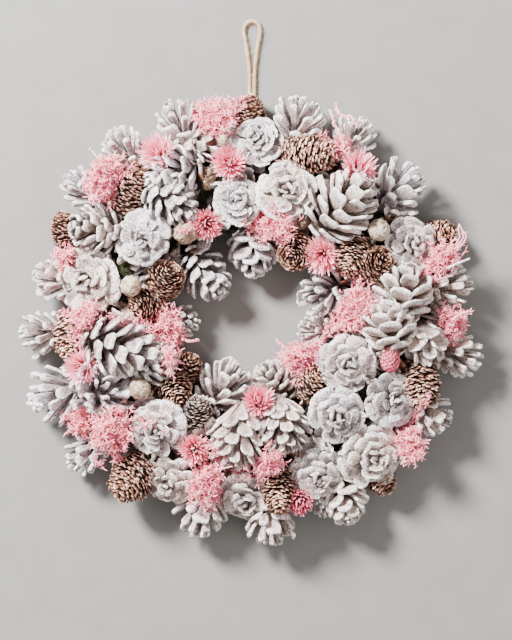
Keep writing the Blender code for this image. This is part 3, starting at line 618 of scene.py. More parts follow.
def scale_blank(name, stations, cup, sides=8, boxed=False):
    """One scale along +Y, drawn out of its root station by station, its rims turned up."""
    along, lift, width, thick = [value * MM for value in stations[0]]
    bpy.ops.object.select_all(action="DESELECT")
    bpy.ops.mesh.primitive_circle_add(vertices=sides, radius=0.5, fill_type="NGON",
                                      rotation=(math.pi / 2, math.pi / 2, 0))
    scale = bpy.context.object
    scale.name = name
    bpy.ops.object.transform_apply(location=True, rotation=True, scale=True)
    bpy.ops.object.mode_set(mode="EDIT")
    if boxed:
        # The section is drawn out toward its corners, so that the scale has flat faces.
        pick_points(scale, lambda spot: 0.2 < abs(spot.x) < 0.45)
        bpy.ops.transform.resize(value=(1.3, 1, 1.05), center_override=(0, 0, 0))
        bpy.ops.mesh.select_all(action="SELECT")
    bpy.ops.transform.resize(value=(width, 1, thick), center_override=(0, 0, 0))
    for step in stations[1:]:
        before = (along, lift, width, thick)
        along, lift, width, thick = [value * MM for value in step]
        bpy.ops.mesh.extrude_region_move(
            TRANSFORM_OT_translate={"value": (0, along - before[0], lift - before[1])})
        bpy.ops.transform.resize(value=(width / before[2], 1, thick / before[3]),
                                 center_override=(0, along, lift))
    bpy.ops.mesh.select_all(action="SELECT")
    bpy.ops.mesh.normals_make_consistent(inside=False)
    reaches, widths = [s[0] * MM for s in stations], [s[2] * MM for s in stations]
    for share, beyond, from_along in CUP_STEPS:
        pick_points(scale, lambda spot: spot.y > from_along * along
                    and abs(spot.x) > beyond * np.interp(spot.y, reaches, widths))
        bpy.ops.transform.translate(value=(0, 0, share * cup * MM))
    bpy.ops.object.mode_set(mode="OBJECT")
    return Blank(scale)


class Heap:
    """Copies of blanks that become one mesh, with what their material reads."""

    def __init__(self):
        self.chance = np.random.default_rng(ROUGHNESS_SEED)
        self.points, self.faces, self.count = [], [], 0
        self.attributes = {"along": [], "rim": [], "tone": [], "warmth": []}
        self.grain = []

    def add(self, blank, matrix, tone, warmth, stretch=1.0, curl=0.0, sway=0.0, ragged=0.0,
            bareness_and_shade=1.0):
        """Puts down one copy, stretched, curled along its length, swayed and roughened."""
        stretch = np.ones(3) * stretch
        points = blank.points * stretch
        points += self.chance.uniform(-ragged, ragged, points.shape)
        reach = points[:, 1] / max(blank.length * stretch[1], 1e-9)
        points[:, 2] += curl * reach ** 2
        points[:, 0] += sway * reach ** 2
        turned = np.array(matrix.to_3x3()) @ points.T
        self.points.append(turned.T + np.array(matrix.translation))
        self.faces += [tuple(i + self.count for i in face) for face in blank.faces]
        self.count += len(points)
        # A scale's rim is its two sides and, less so, its tip.
        side = np.abs(blank.points[:, 0]) / (blank.width / 2)
        self.attributes["along"].append(blank.along ** bareness_and_shade)
        self.attributes["rim"].append(np.maximum(side ** 3, (blank.along > 0.9) * 0.8))
        self.attributes["tone"].append(np.full(len(points), tone))
        self.attributes["warmth"].append(np.full(len(points), warmth))
        self.grain.append(blank.points[:, :2] + np.array((tone, warmth)) * GRAIN_SHIFT)

    def make(self, name, material, node=None):
        """Makes the mesh, gives it its finish and puts it in the place of its solid."""
        attributes = {label: np.concatenate(parts) for label, parts in self.attributes.items()}
        points = np.concatenate(self.points)
        points[:, 2] = np.maximum(points[:, 2], FLOOR_GAP)
        made = piece_of(name, points.tolist(), self.faces, attributes)
        grain = np.concatenate(self.grain)
        layer = made.data.uv_layers.new(name="grain")
        corners = np.empty(len(made.data.loops), dtype=np.int32)
        made.data.loops.foreach_get("vertex_index", corners)
        layer.data.foreach_set("uv", grain[corners].astype(np.float32).ravel())
        made.data.materials.append(material)
        bpy.ops.object.select_all(action="DESELECT")
        made.select_set(True)
        bpy.context.view_layer.objects.active = made
        bpy.ops.object.shade_smooth_by_angle(angle=CRISP_ANGLE)
        attach(made, node)
        return made


def axes(centre, axis):
    """A piece's middle, its axis, and two directions across it."""
    side = axis.orthogonal().normalized()
    return centre, axis, side, axis.cross(side)


def laid(across, ahead, place, upper=None):
    """The matrix that lays a blank at a place, along one direction and across another."""
    upper = across.cross(ahead) if upper is None else upper
    matrix = Matrix((across, ahead, upper)).transposed().to_4x4()
    matrix.translation = place
    return matrix


# How far a laid scale is rolled, in radians, and bent up, swayed sideways and roughened, in
# millimetres. One that is narrower than a full scale's width moves less.
SCALE_ROLL = 0.16
SCALE_BEND = 1.4
SCALE_SWAY = 1.6
SCALE_RAGGED = 0.36 * MM
FULL_SCALE = 8 * MM


def lay_scale(heap, blank, cone, root, tip, azimuth, wide, tone, warmth, draw, bareness_and_shade=1.0,
              loose=1.0):
    """Lays one scale of a cone from its root to its tip, both as (out, up) from its middle."""
    centre, axis, side, other = cone
    out = side * math.cos(azimuth) + other * math.sin(azimuth)
    start = centre + out * root[0] + axis * root[1]
    end = centre + out * tip[0] + axis * tip[1]
    ahead = (end - start).normalized()
    upper = axis.cross(out).cross(ahead) * -1
    roll = Matrix.Rotation(draw.uniform(-SCALE_ROLL, SCALE_ROLL) * loose, 3, ahead)
    matrix = laid(roll @ ahead.cross(upper), ahead, start, roll @ upper)
    stretch = (wide / blank.width, (end - start).length / blank.length,
               (wide / blank.width) ** 0.5)
    size = min(1.0, wide / FULL_SCALE)
    bend = size * loose * MM
    heap.add(blank, matrix, tone, warmth, stretch, draw.uniform(-SCALE_BEND, SCALE_BEND) * bend,
             draw.uniform(-SCALE_SWAY, SCALE_SWAY) * bend, SCALE_RAGGED * size, bareness_and_shade)


def place_core(heap, cone, width, length, shares, tone=0.5, warmth=0.5):
    """Puts the core of a cone or bud into its middle, by its start, width and length."""
    centre, axis, side, _ = cone
    start, broad, tall = shares
    across = broad * width / core_blank.width
    heap.add(core_blank, laid(side, axis, centre - axis * start * length), tone, warmth,
             (across, tall * length / core_blank.length, across))


def open_cone(heap, centre, axis, width, length, style, warmth, heart, draw):
    """One open cone: its core, and its scales in golden-angle spirals from base to tip."""
    count, broad, wider, longer, bareness_and_shade = CONE_STYLES[style]
    width, length = width * wider, length * longer
    cone = axes(centre, axis)
    turn = draw.uniform(0, math.tau)
    cupped_side = draw.uniform(0, math.tau)
    if style == "rose":
        crowd = draw.uniform(1.0, ROSE_CROWD)
        count, broad = round(count * crowd), broad / crowd
    spread = GROWTH.get(style, USUAL_GROWTH)
    root_out = CLOSED_ROOT_OUT if style == "closed" else ROOT_OUT
    places, outs, ups, roots = zip(*OUTLINES[style])
    for k in range(count):
        share = k / (count - 1)
        out, up = np.interp(share, places, outs), np.interp(share, places, ups)
        grown = draw.uniform(0.98 - spread, 0.98 + spread)
        tip = (0.5 * width * out * grown, length * (up + draw.uniform(-TIP_STRAY, TIP_STRAY)))
        root = (root_out * width, length * np.interp(share, places, roots))
        wide = broad * width * (SLIMMEST + (1 - SLIMMEST) * out) * draw.uniform(0.86, 1.12)
        jumbled = style == "rose" and share > JUMBLED_FROM
        stray = math.radians(draw.uniform(-TURN_STRAY, TURN_STRAY)) * (1 + JUMBLED_TURN * jumbled)
        azimuth = turn + k * GOLDEN_TURN + stray
        kind = style
        # The scales on one side of a rose are cupped like shells.
        if style == "rose" and math.cos(azimuth - cupped_side) > 0.1:
            kind = "shell"
        if style == "hand" and draw.random() < BROAD_CHANCE:
            kind, wide = "strap", wide * BROAD_STRETCH
        bared_and_shaded = bareness_and_shade * np.interp(share, (0.7, 0.95), (1, heart))
        lay_scale(heap, scales[kind], cone, root, tip, azimuth, wide, draw.random(), warmth,
                  draw, bared_and_shaded, CLOSED_BEND if style == "closed" else 1 + JUMBLED_BEND * jumbled)
    place_core(heap, cone, width, length, OPEN_CORE, draw.random(), warmth)


scales = {style: scale_blank(f"{style}_scale", form, SCALE_CUP[style],
                             boxed=style not in ("rose", "shell"))
          for style, form in SCALE_FORMS.items()}
core_blank = scale_blank("cone_core", [(0, 0, 4, 4), (2, 0, 9, 9), (8, 0, 11, 11), (18, 0, 9, 9),
                                       (27, 0, 5, 5), (31, 0, 1.5, 1.5)], 0)
# The core's points are all at its root for the material, so that it stays dark bare wood, partly
# painted shade in the cone's middle.
core_blank.along = core_blank.along * 0.1 + 0.05

# Pine wood scales under a dip of chalky white wash, thin enough for the grain to show, with pits.
# Their middles are painted lilac grey, a painted shade in their hollows; their rims are painted
# cream white, a painted highlight; and down at the root the wood is bare brown, painted darker as
# shade between the scales. Fully matt and rough. Grain lines are 1.4 mm apart here, so that they
# show.
wash, tree, where, shader = new_material("Whitewashed pine scales")
lengthwise = add_node(tree, "UVMap", uv_map="grain")
drawn = add_node(tree, "Mapping", {"Vector": lengthwise, "Scale": (720.0, 110.0, 1.0)})
grain = add_node(tree, "TexNoise", {"Vector": drawn, "Scale": 1.0, "Detail": 4.0,
                                    "Roughness": 0.65})
patches = add_node(tree, "TexNoise", {"Vector": where, "Scale": 190.0, "Detail": 3.0})
specks = add_node(tree, "TexNoise", {"Vector": where, "Scale": 620.0, "Detail": 3.0,
                                     "Roughness": 0.6})
along, rim, tone, warmth = [add_node(tree, "Attribute", attribute_name=label).outputs["Fac"]
                            for label in ("along", "rim", "tone", "warmth")]
warm = add_node(tree, "Math", {0: warmth, 1: patches}, operation="ADD")
warmer = add_node(tree, "MapRange", {"Value": warm, "From Min": 0.35, "From Max": 1.3})
coat = add_node(tree, "Mix", {0: warmer, 6: WASH_COOL, 7: WASH_WARM}, data_type="RGBA")
thin = add_node(tree, "Math", {0: tone, 1: 0.35}, operation="MULTIPLY")
uneven = add_node(tree, "Math", {0: grain, 1: thin}, operation="ADD")
thinner = add_node(tree, "MapRange", {"Value": uneven, "From Min": 0.42, "From Max": 0.92})
greyed = add_node(tree, "Mix", {0: thinner, 6: coat, 7: WASH_GREY}, data_type="RGBA")
# Painted shade: the middle of each scale, across it and along its length, is darkened toward lilac
# grey or taupe, more on some scales than on others.
inner = add_node(tree, "MapRange", {"Value": rim, "From Min": 0.35, "From Max": 0.02})
seeded = add_node(tree, "MapRange", {"Value": tone, "From Min": 0.25, "From Max": 0.65,
                                     "To Max": 0.95})
lying = add_node(tree, "ValToRGB", {"Fac": along},
                 stops=[(0.42, "#000000"), (0.58, "#FFFFFF"), (0.74, "#FFFFFF"),
                        (0.90, "#000000")])
painted_shade_mask = add_node(tree, "Math", {0: inner, 1: seeded}, operation="MULTIPLY")
painted_shade_here = add_node(tree, "Math", {0: painted_shade_mask, 1: lying}, operation="MULTIPLY")
shade = add_node(tree, "Mix", {0: warmer, 6: WASH_HOLLOW_SHADE, 7: WASH_WARM_HOLLOW_SHADE}, data_type="RGBA")
with_painted_shade = add_node(tree, "Mix", {0: painted_shade_here, 6: greyed, 7: shade}, data_type="RGBA")
# Painted highlight: the rims, the sides most and the tip less, are painted cream white in patches.
sharp = add_node(tree, "Math", {0: rim, 1: 2.0}, operation="POWER")
rim_highlight_strength = add_node(tree, "MapRange", {"Value": patches, "From Min": 0.3, "From Max": 0.6,
                                   "To Min": 0.55, "To Max": 1.3})
rim_highlight = add_node(tree, "Math", {0: sharp, 1: rim_highlight_strength}, operation="MULTIPLY", use_clamp=True)
rim_highlighted = add_node(tree, "Mix", {0: rim_highlight, 6: with_painted_shade, 7: WASH_RIM_HIGHLIGHT}, data_type="RGBA")
pits = add_node(tree, "MapRange", {"Value": specks, "From Min": 0.53, "From Max": 0.62,
                                   "To Max": 0.95})
pitted = add_node(tree, "Mix", {0: pits, 6: rim_highlighted, 7: WASH_PIT}, data_type="RGBA")
# Bare wood at the scales' roots, partly painted near black as painted shade between the scales.
bare_and_shaded = add_node(tree, "Mix", {0: patches, 6: CONE_HEART_AND_SHADE, 7: CONE_WOOD}, data_type="RGBA")
reach = add_node(tree, "Math", {0: patches, 1: 0.4}, operation="MULTIPLY")
dipped = add_node(tree, "Math", {0: along, 1: reach}, operation="ADD")
cover = add_node(tree, "MapRange", {"Value": dipped, "From Min": 0.16, "From Max": 0.50})
washed = add_node(tree, "Mix", {0: cover, 6: bare_and_shaded, 7: pitted}, data_type="RGBA")
ridges = add_node(tree, "Bump", {"Height": grain, "Strength": 1.0, "Distance": 1.5 * MM})
relief = add_node(tree, "Bump", {"Height": specks, "Strength": 0.8, "Distance": 0.8 * MM,
                                 "Normal": ridges})
connect(shader, {"Base Color": washed, "Normal": relief, "Roughness": 0.715, "IOR": 1.45})

for node, rows in WHITE_CONES.items():
    draw = random.Random(node)
    heap = Heap()
    for seat, (x, y, width, length, heading, rise, style) in zip(seats(node, rows), rows):
        axis = leaning(x, y, heading, rise)
        plain = 0.0 if (x, y) in COOL_CONES else PLAIN_WARMTH
        warmth = 1.0 if (x, y) in WARM_CONES else plain
        heart = BARE_HEART if (x, y) in BARE_HEARTS else draw.uniform(1, 4)
        open_cone(heap, seat, axis, width * MM, length * MM, style,
                  warmth * draw.uniform(0.7, 1.0), heart, draw)
    heap.make(f"{node}_scales", wash, node)

# Brown cones
# Small unpainted cones of 28 to 54 mm with a dense coat of short hooked scales, whose tips
# have weathered to a pale tan. They are wired between the white cones.
BROWN_CONES = {
    # Across, up the picture, width, length, heading and rise toward the viewer.
    "brown_cone_01": [(-2, 179, 28, 38, 90, 10)],
    "brown_cone_02": [(50, 146, 34, 50, 355, 5)],
    "brown_cone_03": [(162, 74, 30, 39, None, 25)],
    "brown_cone_04": [(88, 55, 32, 39, 240, 20), (108, 44, 30, 37, 30, 60)],
    "brown_cone_05": [(40, 60, 33, 37, 235, 60)],
    "brown_cone_06": [(149, -51, 34, 44, 275, 20)],
    "brown_cone_07": [(52, -58, 30, 35, 60, 30)],
    "brown_cone_08": [(116, -146, 28, 39, None, 15)],
    "brown_cone_09": [(23, -146, 28, 50, 270, 25)],
    "brown_cone_10": [(-48, -84, 25, 30, 90, 30)],
    "brown_cone_11": [(-106, -142, 39, 49, 225, 15)],
    "brown_cone_12": [(-56, -42, 28, 32, 60, 40), (-69, -61, 33, 39, 300, 40)],
    "brown_cone_13": [(-160, -9, 29, 42, 265, 10)],
    "brown_cone_14": [(-78, 33, 33, 37, 60, 50), (-92, 12, 28, 33, 200, 30)],
    "brown_cone_15": [(-164, 75, 24, 36, 95, 20)],
    "brown_cone_16": [(-109, 111, 33, 53, 70, 15)],
}
GREYED_CONES = ("brown_cone_10",)
# The dressed cones are this much larger than their solids, across and along.
BROWN_WIDER = 1.04
BROWN_LONGER = 1.02
BROWN_CORE = (0.42, 0.74, 0.84)
HOOK_SPACING = 3.2 * MM
HOOK_WIDTH = 4.6 * MM
HOOK_LENGTH = 7.5 * MM
HOOK_LOOSE = 1.6
# Where the hooks start and how far they run, as heights on a ball of radius one.
HOOKS_FROM = -0.985
HOOKS_RUN = 1.975
BARK_SHADE = "#220E08"
BARK = "#824E37"
BARK_TIP = "#E4BCA8"
BARK_GREY = "#8D8580"

hook_blank = scale_blank("thin_scale", [(0, 0, 2.4, 0.8), (4.2, 0.3, 4.6, 0.8),
                                        (6.8, 0.9, 5.0, 0.75), (7.9, 1.3, 2.8, 0.45)], 0.5,
                         sides=4)

# Bare cone wood, never coated: red brown on the scales and dry, pale tan at their tips, with a
# dull waxy skin that is a little smoother than the wash. Toward their roots they are painted dark
# umber as painted shade between the scales.
bark, tree, where, shader = new_material("Bare brown cone wood")
mottle = add_node(tree, "TexNoise", {"Vector": where, "Scale": 420.0, "Detail": 3.0})
along, tone, warmth = [add_node(tree, "Attribute", attribute_name=label).outputs["Fac"]
                       for label in ("along", "tone", "warmth")]
vary = add_node(tree, "Math", {0: mottle, 1: tone}, operation="ADD")
shift = add_node(tree, "MapRange", {"Value": vary, "From Min": 0.2, "From Max": 1.6,
                                    "To Min": -0.22, "To Max": 0.2})
place = add_node(tree, "Math", {0: along, 1: shift}, operation="ADD")
# Painted shade: the root half of each scale is painted dark umber.
colour = add_node(tree, "ValToRGB", {"Fac": place},
                  stops=[(0.5, BARK_SHADE), (0.86, BARK), (1.0, BARK_TIP)])
greying = add_node(tree, "MapRange", {"Value": warmth, "From Min": 0.6, "From Max": 1.0,
                                      "To Max": 0.75})
aged = add_node(tree, "Mix", {0: greying, 6: colour, 7: BARK_GREY}, data_type="RGBA",
                blend_type="SATURATION")
relief = add_node(tree, "Bump", {"Height": mottle, "Strength": 0.4, "Distance": 0.4 * MM})
connect(shader, {"Base Color": aged, "Normal": relief, "Roughness": 0.7})


def tight_cone(heap, centre, axis, width, length, draw, greyness):
    """One small brown cone: a core thickly covered with short hooked scales."""
    cone = axes(centre, axis)
    turn = draw.uniform(0, math.tau)
    count = int(math.pi * width * length * 0.92 / HOOK_SPACING ** 2)
    for k in range(count):
        share = (k + 0.5) / count
        opening = math.acos(HOOKS_FROM + HOOKS_RUN * share) + draw.uniform(-0.04, 0.04)
        grown = draw.uniform(0.92, 1.08)
        out, up = math.sin(opening), math.cos(opening)
        # A hook lies close to the cone at its side and stands out more toward its ends.
        tip = (0.5 * width * out ** 0.85 * grown, 0.5 * length * up * grown + 1.5 * MM)
        root = (max(tip[0] - HOOK_LENGTH * (0.3 + 0.6 * out), 0.0),
                tip[1] - HOOK_LENGTH * (0.22 + 0.55 * max(up, 0.0)))
        wide = HOOK_WIDTH * (0.6 + 0.4 * out) * draw.uniform(0.8, 1.15)
        azimuth = turn + k * GOLDEN_TURN + draw.uniform(-0.05, 0.05)
        around = cone[2] * math.cos(azimuth) + cone[3] * math.sin(azimuth)
        if not in_ring(centre + around * tip[0] + axis * tip[1]):
            lay_scale(heap, hook_blank, cone, root, tip, azimuth, wide, draw.random(),
                      greyness, draw, loose=HOOK_LOOSE)
    place_core(heap, cone, width, length, BROWN_CORE)


for node, rows in BROWN_CONES.items():
    draw = random.Random(node)
    heap = Heap()
    for seat, (x, y, width, length, heading, rise) in zip(seats(node, rows), rows):
        tight_cone(heap, seat, leaning(x, y, heading, rise), width * BROWN_WIDER * MM,
                   length * BROWN_LONGER * MM, draw, 1.0 if node in GREYED_CONES else 0.5)
    heap.make(f"{node}_scales", bark, node)

# Tucked scales
# Loose scales, broken off spare cones, some dipped and some bare, are pushed into the moss
# between the cones, where they close the gaps that would show the ring.
chip_blank = scale_blank("loose_scale", [(0, 0, 4.0, 2.0), (9, -0.4, 9.0, 2.4),
                                         (17, 0.2, 13.0, 2.8), (21.5, 0.9, 10.5, 2.4),
                                         (23, 1.3, 4.5, 1.0)], 1.2, sides=6)
# How many of each coat there are, its material and slot, and how far out the wood is bare and
# painted dark as painted shade between the scales.
TUCKED = {"white": (520, wash, "white_cones", 1.0), "brown": (200, bark, "brown_cone", 3.0)}
CHIP_SIZES = (0.7, 1.15)
CHIP_CURL = 2
CHIP_RAGGED = 0.3 * MM
# Where some white ones lie nearly flat over a gap, and which way they point.
GAP_SCALES = [(-107, -54, 20), (-110, -50, 330), (-104, -50, 100), (-100, -82, 300),
              (-92, -78, 60), (60, -106, 80), (54, -112, 10), (62, -114, 330), (45, -118, 250)]
GAP_RISE = 22
GAP_HEIGHT = 36 * MM
GAP_SIZE = 0.95
GAP_SHIFT = 10 * MM
GAP_WARMTH = 0.6
GAP_CURL = 1.2 * MM

for coat, (amount, finish, slot, bareness_and_shade) in TUCKED.items():
    draw = random.Random(f"tucked {coat} scales")
    heap = Heap()
    for x, y, heading in GAP_SCALES if coat == "white" else ():
        ahead = direction(heading, GAP_RISE)
        place = Vector((x * MM, y * MM, GAP_HEIGHT)) + HUB - ahead * GAP_SHIFT
        heap.add(chip_blank, laid(ahead.cross(UP).normalized(), ahead, place), draw.random(),
                 GAP_WARMTH, GAP_SIZE, GAP_CURL, 0.0, CHIP_RAGGED)
    for _ in range(amount):
        around, arch = draw.uniform(0, math.tau), draw.uniform(0.2, 0.84) * math.pi
        out = Vector((math.cos(around), math.sin(around), 0))
        foot = HUB + out * (RING_MIDDLE - (RING_HALF_WIDTH - 3 * MM) * math.cos(arch))
        foot.z = (RING_HEIGHT - 3 * MM) * math.sin(arch)
        lean = scatter(draw) * 1.1
        ahead = (UP * 0.55 - out * math.cos(arch) * 0.4 + lean).normalized()
        if ahead.z < 0.05:
            ahead.z = 0.15
            ahead.normalize()
        turn = Matrix.Rotation(draw.uniform(0, math.tau), 3, ahead)
        size = draw.uniform(*CHIP_SIZES)
        heap.add(chip_blank, laid(turn @ ahead.orthogonal().normalized(), ahead, foot),
                 draw.random(), draw.random(), size, draw.uniform(-CHIP_CURL, CHIP_CURL) * MM,
                 0.0, CHIP_RAGGED, bareness_and_shade)
    heap.make(f"tucked_{coat}_scales", finish)

# Pink flower heads
# Dried and dyed daisy-like heads of 22 to 33 mm, each with well over a hundred thin petals,
# glued between the cones. They are deep rose at the heart and pale pink at the tips.
FLOWERS = {
    # Across, up the picture, width, depth and how deep the dye is. Moss that shares a node has
    # a row too, without a size, so that the head's own seat is found.
    "pink_flower_01": [(-21, 136, 33, 27, 0.5)],
    "pink_flower_02": [(61, 55, 35, 26, 0.35)],
    "pink_flower_03": [(41, -161, 25, 23, 1.6)],
    "pink_flower_04": [(4, -72, 30, 26, 0.9)],
    "pink_flower_05": [(-84, 147, 36, 28, 0.1)],
    "pink_flower_06": [(-40, 82, 29, 25, 0.9)],
    "pink_spray_01": [(77, 158, 0, 0, 0), (93, 135, 35, 29, 0.3)],
    "pink_spray_07": [(-40, -146, 0, 0, 0), (-52, -113, 29, 25, 0.8)],
    "pink_spray_09": [(-151, -42, 33, 26, 0.2), (-144, -4, 0, 0, 0)],
}
FLOWER_WIDER = 1.05
FLOWER_LEAN = 30
PETALS = 150
PETAL_WIDTH = 1.75 * MM
PETAL_LOOSE = 3.5
# Where the petals start and how far they run, as heights on a ball of radius one, and how wide
# their heart is and how deep it lies, as shares of the head's width and depth.
PETALS_FROM = -0.45
PETALS_RUN = 1.44
HEART_WIDTH = 0.09
HEART_DEPTH = 0.34
DYE_SHARE = 0.3
PETAL_HEART_AND_SHADE = "#B3264A"
PETAL_DEEP = "#FF809A"
PETAL_PALE = "#FFBFCB"

petal_blank = scale_blank("petal", [(0, 0, 0.9, 0.5), (4, -0.2, 1.2, 0.5), (8, -0.1, 1.4, 0.5),
                                    (11, 0.5, 1.3, 0.45), (13, 1.3, 0.6, 0.3)], 0.15, sides=4)

# Dyed dried petals: papery and matt, with a soft sheen from their fine hairs, and bleached at the
# tips. Toward the heart they are painted nearly red: partly the dye and partly painted shade where
# they crowd.
petal_dye, tree, where, shader = new_material("Pink dyed dried petals")
fading = add_node(tree, "TexNoise", {"Vector": where, "Scale": 500.0, "Detail": 2.0})
along, tone, warmth = [add_node(tree, "Attribute", attribute_name=label).outputs["Fac"]
                       for label in ("along", "tone", "warmth")]
vary = add_node(tree, "Math", {0: fading, 1: tone}, operation="ADD")
faded = add_node(tree, "MapRange", {"Value": vary, "From Min": 0.2, "From Max": 1.6,
                                    "To Min": -0.2, "To Max": 0.2})
dyed = add_node(tree, "Math", {0: faded, 1: warmth}, operation="SUBTRACT")
place = add_node(tree, "Math", {0: along, 1: dyed}, operation="ADD")
lifted = add_node(tree, "Math", {0: place, 1: 0.25}, operation="ADD")
# Deep toward the heart: partly the dye, partly painted shade.
colour = add_node(tree, "ValToRGB", {"Fac": lifted},
                  stops=[(0.36, PETAL_HEART_AND_SHADE), (0.68, PETAL_DEEP), (1.0, PETAL_PALE)])
connect(shader, {"Base Color": colour, "Roughness": 0.8, "Sheen Weight": 0.25})


def flower_head(heap, centre, axis, width, length, deep, draw):
    """One flower head: thin petals from a small heart, most of them spread wide."""
    flower = axes(centre, axis)
    for k in range(PETALS):
        share = (k + 0.5) / PETALS
        opening = math.acos(PETALS_FROM + PETALS_RUN * share) + draw.uniform(-0.14, 0.14)
        grown = draw.uniform(0.78, 1.08)
        tip = (0.5 * width * math.sin(opening) * grown,
               0.5 * length * math.cos(opening) * grown)
        root = (HEART_WIDTH * width * math.sin(opening), -HEART_DEPTH * length)
        lay_scale(heap, petal_blank, flower, root, tip, k * GOLDEN_TURN,
                  PETAL_WIDTH * draw.uniform(0.7, 1.2), draw.random(), deep * DYE_SHARE, draw,
                  loose=PETAL_LOOSE)


for node, rows in FLOWERS.items():
    draw = random.Random(node + " petals")
    heap = Heap()
    for seat, (x, y, width, length, deep) in zip(seats(node, rows), rows):
        if width:
            flower_head(heap, seat, leaning(x, y, lean=FLOWER_LEAN),
                        width * FLOWER_WIDER * MM, length * MM, deep, draw)
    heap.make(f"{node}_petals", petal_dye, node)

# Pink moss
# Reindeer moss dyed pink: a springy tangle of fine forked strands, in tufts of 23 to 55 mm
# pushed and glued into the gaps. The tips are painted pale as a painted highlight and the depths
# dark red as painted shade.
MOSS_TUFTS = {
    # As for the brown cones. A flower head that shares a node has a row too, without a size.
    "pink_spray_01": [(77, 158, 18, 24, None, None), (93, 135, 0, 0, None, None)],
    "pink_spray_02": [(169, 49, 23, 47, 40, 20), (176, -4, 26, 36, 95, 30)],
    "pink_spray_03": [(86, 11, 28, 54, 53, 20)],
    "pink_spray_04": [(140, -109, 23, 42, 280, 30)],
    "pink_spray_05": [(44, -34, 36, 32, None, None)],
    "pink_spray_06": [(12, -128, 20, 36, 35, 20)],
    "pink_spray_07": [(-40, -146, 28, 49, 80, 30), (-52, -113, 0, 0, None, None)],
    "pink_spray_08": [(-158, -87, 25, 28, None, None), (-128, -107, 38, 46, 60, 45)],
    "pink_spray_09": [(-151, -42, 0, 0, None, None), (-144, -4, 25, 28, 0, 30)],
    "pink_spray_10": [(-74, -13, 27, 55, 90, 30)],
    "pink_spray_11": [(-163, 55, 23, 23, None, None)],
    "pink_spray_12": [(-130, 118, 32, 48, 80, 30)],
    "pink_spray_13": [(-33, 178, 39, 35, None, None)],
    "pink_spray_14": [(16, 81, 30, 46, 0, 40)],
}
SPRIG_LENGTH = 13 * MM
SPRIG_RADIUS = 0.72 * MM
SPRIG_KINDS = 8
SPRIG_SPACING = 4.0 * MM
# How crooked a sprig's strand is, and how much thinner it gets toward its end.
SPRIG_CROOKED = 0.9
SPRIG_TAPER = 0.45
TUFT_WIDER = 1.1
# How lobed a tuft's outline is, and how many of its sprigs stand out of it.
LOBES = 0.16
STRAY_CHANCE = 0.1
# The middle of a tuft, a dark ball of painted shade, as a share of its size, and how rough it is.
MIDDLE_SHARE = 0.62
MIDDLE_RAGGED = 1.5 * MM
# Trailing strands are let down from this many millimetres. They lie this far above what is
# below them, and only where it is this high.
TRAIL_ABOVE = 300
TRAIL_LIFT = 0.8 * MM
TRAIL_FLOOR = 12 * MM
# Dark red painted shade at the strands' roots, the moss's own pink, and pale tips as a painted
# highlight.
MOSS_SHADE = "#A24256"
MOSS_MID = "#FF8795"
MOSS_TIP = "#FFB0B9"
# Loose strands that trail from a tuft over the cones beside it: from where to where, how many
# and how far they stray, in millimetres.
TRAILS = {
    "pink_spray_01": [(60, 158, 76, 154, 16, 2.5), (72, 147, 81, 140, 10, 2.5)],
    "pink_spray_03": [(70, -8, 64, -18, 14, 3)],
    "pink_spray_04": [(140, -92, 155, -68, 34, 2.5)],
    "pink_spray_06": [(-20, -136, 2, -136, 16, 4), (14, -112, 14, -120, 8, 3)],
    "pink_spray_07": [(-39, -106, -24, -134, 48, 3), (-38, -162, -38, -171, 13, 6)],
    "pink_spray_08": [(-116, -80, -82, -97, 34, 4), (-140, -118, -132, -134, 14, 3),
                      (-124, -118, -112, -128, 16, 4)],
    "pink_spray_09": [(-134, 3, -98, -5, 44, 2.2), (-156, 4, -172, 7, 24, 3),
                      (-155, -10, -151, -28, 50, 4.5)],
    "pink_spray_10": [(-94, -4, -84, -16, 16, 4), (-72, -24, -71, -42, 90, 4.5),
                      (-62, -18, -49, -21, 14, 2)],
    "pink_spray_12": [(-112, 126, -104, 130, 10, 3), (-127, 103, -125, 95, 10, 3)],
    "pink_spray_13": [(-18, 187, -5, 193, 26, 2.5), (-45, 166, -30, 160, 13, 4)],
    "pink_spray_14": [(2, 81, -9, 81, 13, 3), (24, 70, 30, 61, 11, 3), (20, 90, 21, 97, 9, 1.5),
                      (-48, 80, -59, 76, 12, 2)],
}


def sprig_blank(seed):
    """One forked sprig of moss along +Y: a crooked strand with three curly side strands."""
    draw = random.Random(f"sprig {seed}")
    mesh, reach = ([], []), []

    def strand(start, ahead, length, radius, base, steps):
        path, way = [start], ahead.normalized()
        for _ in range(steps):
            way = (way + scatter(draw) * SPRIG_CROOKED).normalized()
            path.append(path[-1] + way * length / steps)
        radii = [radius * (1.0 - SPRIG_TAPER * k / steps) for k in range(steps + 1)]
        part = tube(path, radii, 3)
        gather(mesh, part)
        reach.extend(base + (1 - base) * t for t in part[2])
        return path

    path = strand(Vector((0, 0, 0)), Vector((0, 1, 0)), SPRIG_LENGTH * 0.75, SPRIG_RADIUS, 0.0, 3)
    for k in (1, 2, 2):
        side = Vector((draw.uniform(-1, 1), draw.uniform(0.0, 1.0), draw.uniform(-1, 1)))
        strand(path[k], side, SPRIG_LENGTH * draw.uniform(0.3, 0.45), SPRIG_RADIUS * 0.85,
               0.25 * k, 2)
    blank = Blank(piece_of("sprig", *mesh))
    blank.along = np.array(reach)
    return blank


sprigs = [sprig_blank(k) for k in range(SPRIG_KINDS)]
bpy.ops.object.select_all(action="DESELECT")
bpy.ops.mesh.primitive_ico_sphere_add(subdivisions=2, radius=0.5)
# All the points of a tuft's middle count as roots, so that it is painted dark, as shade inside the
# tuft.
shade_middle_blank = Blank(bpy.context.object)
shade_middle_blank.along = np.zeros(len(shade_middle_blank.points))

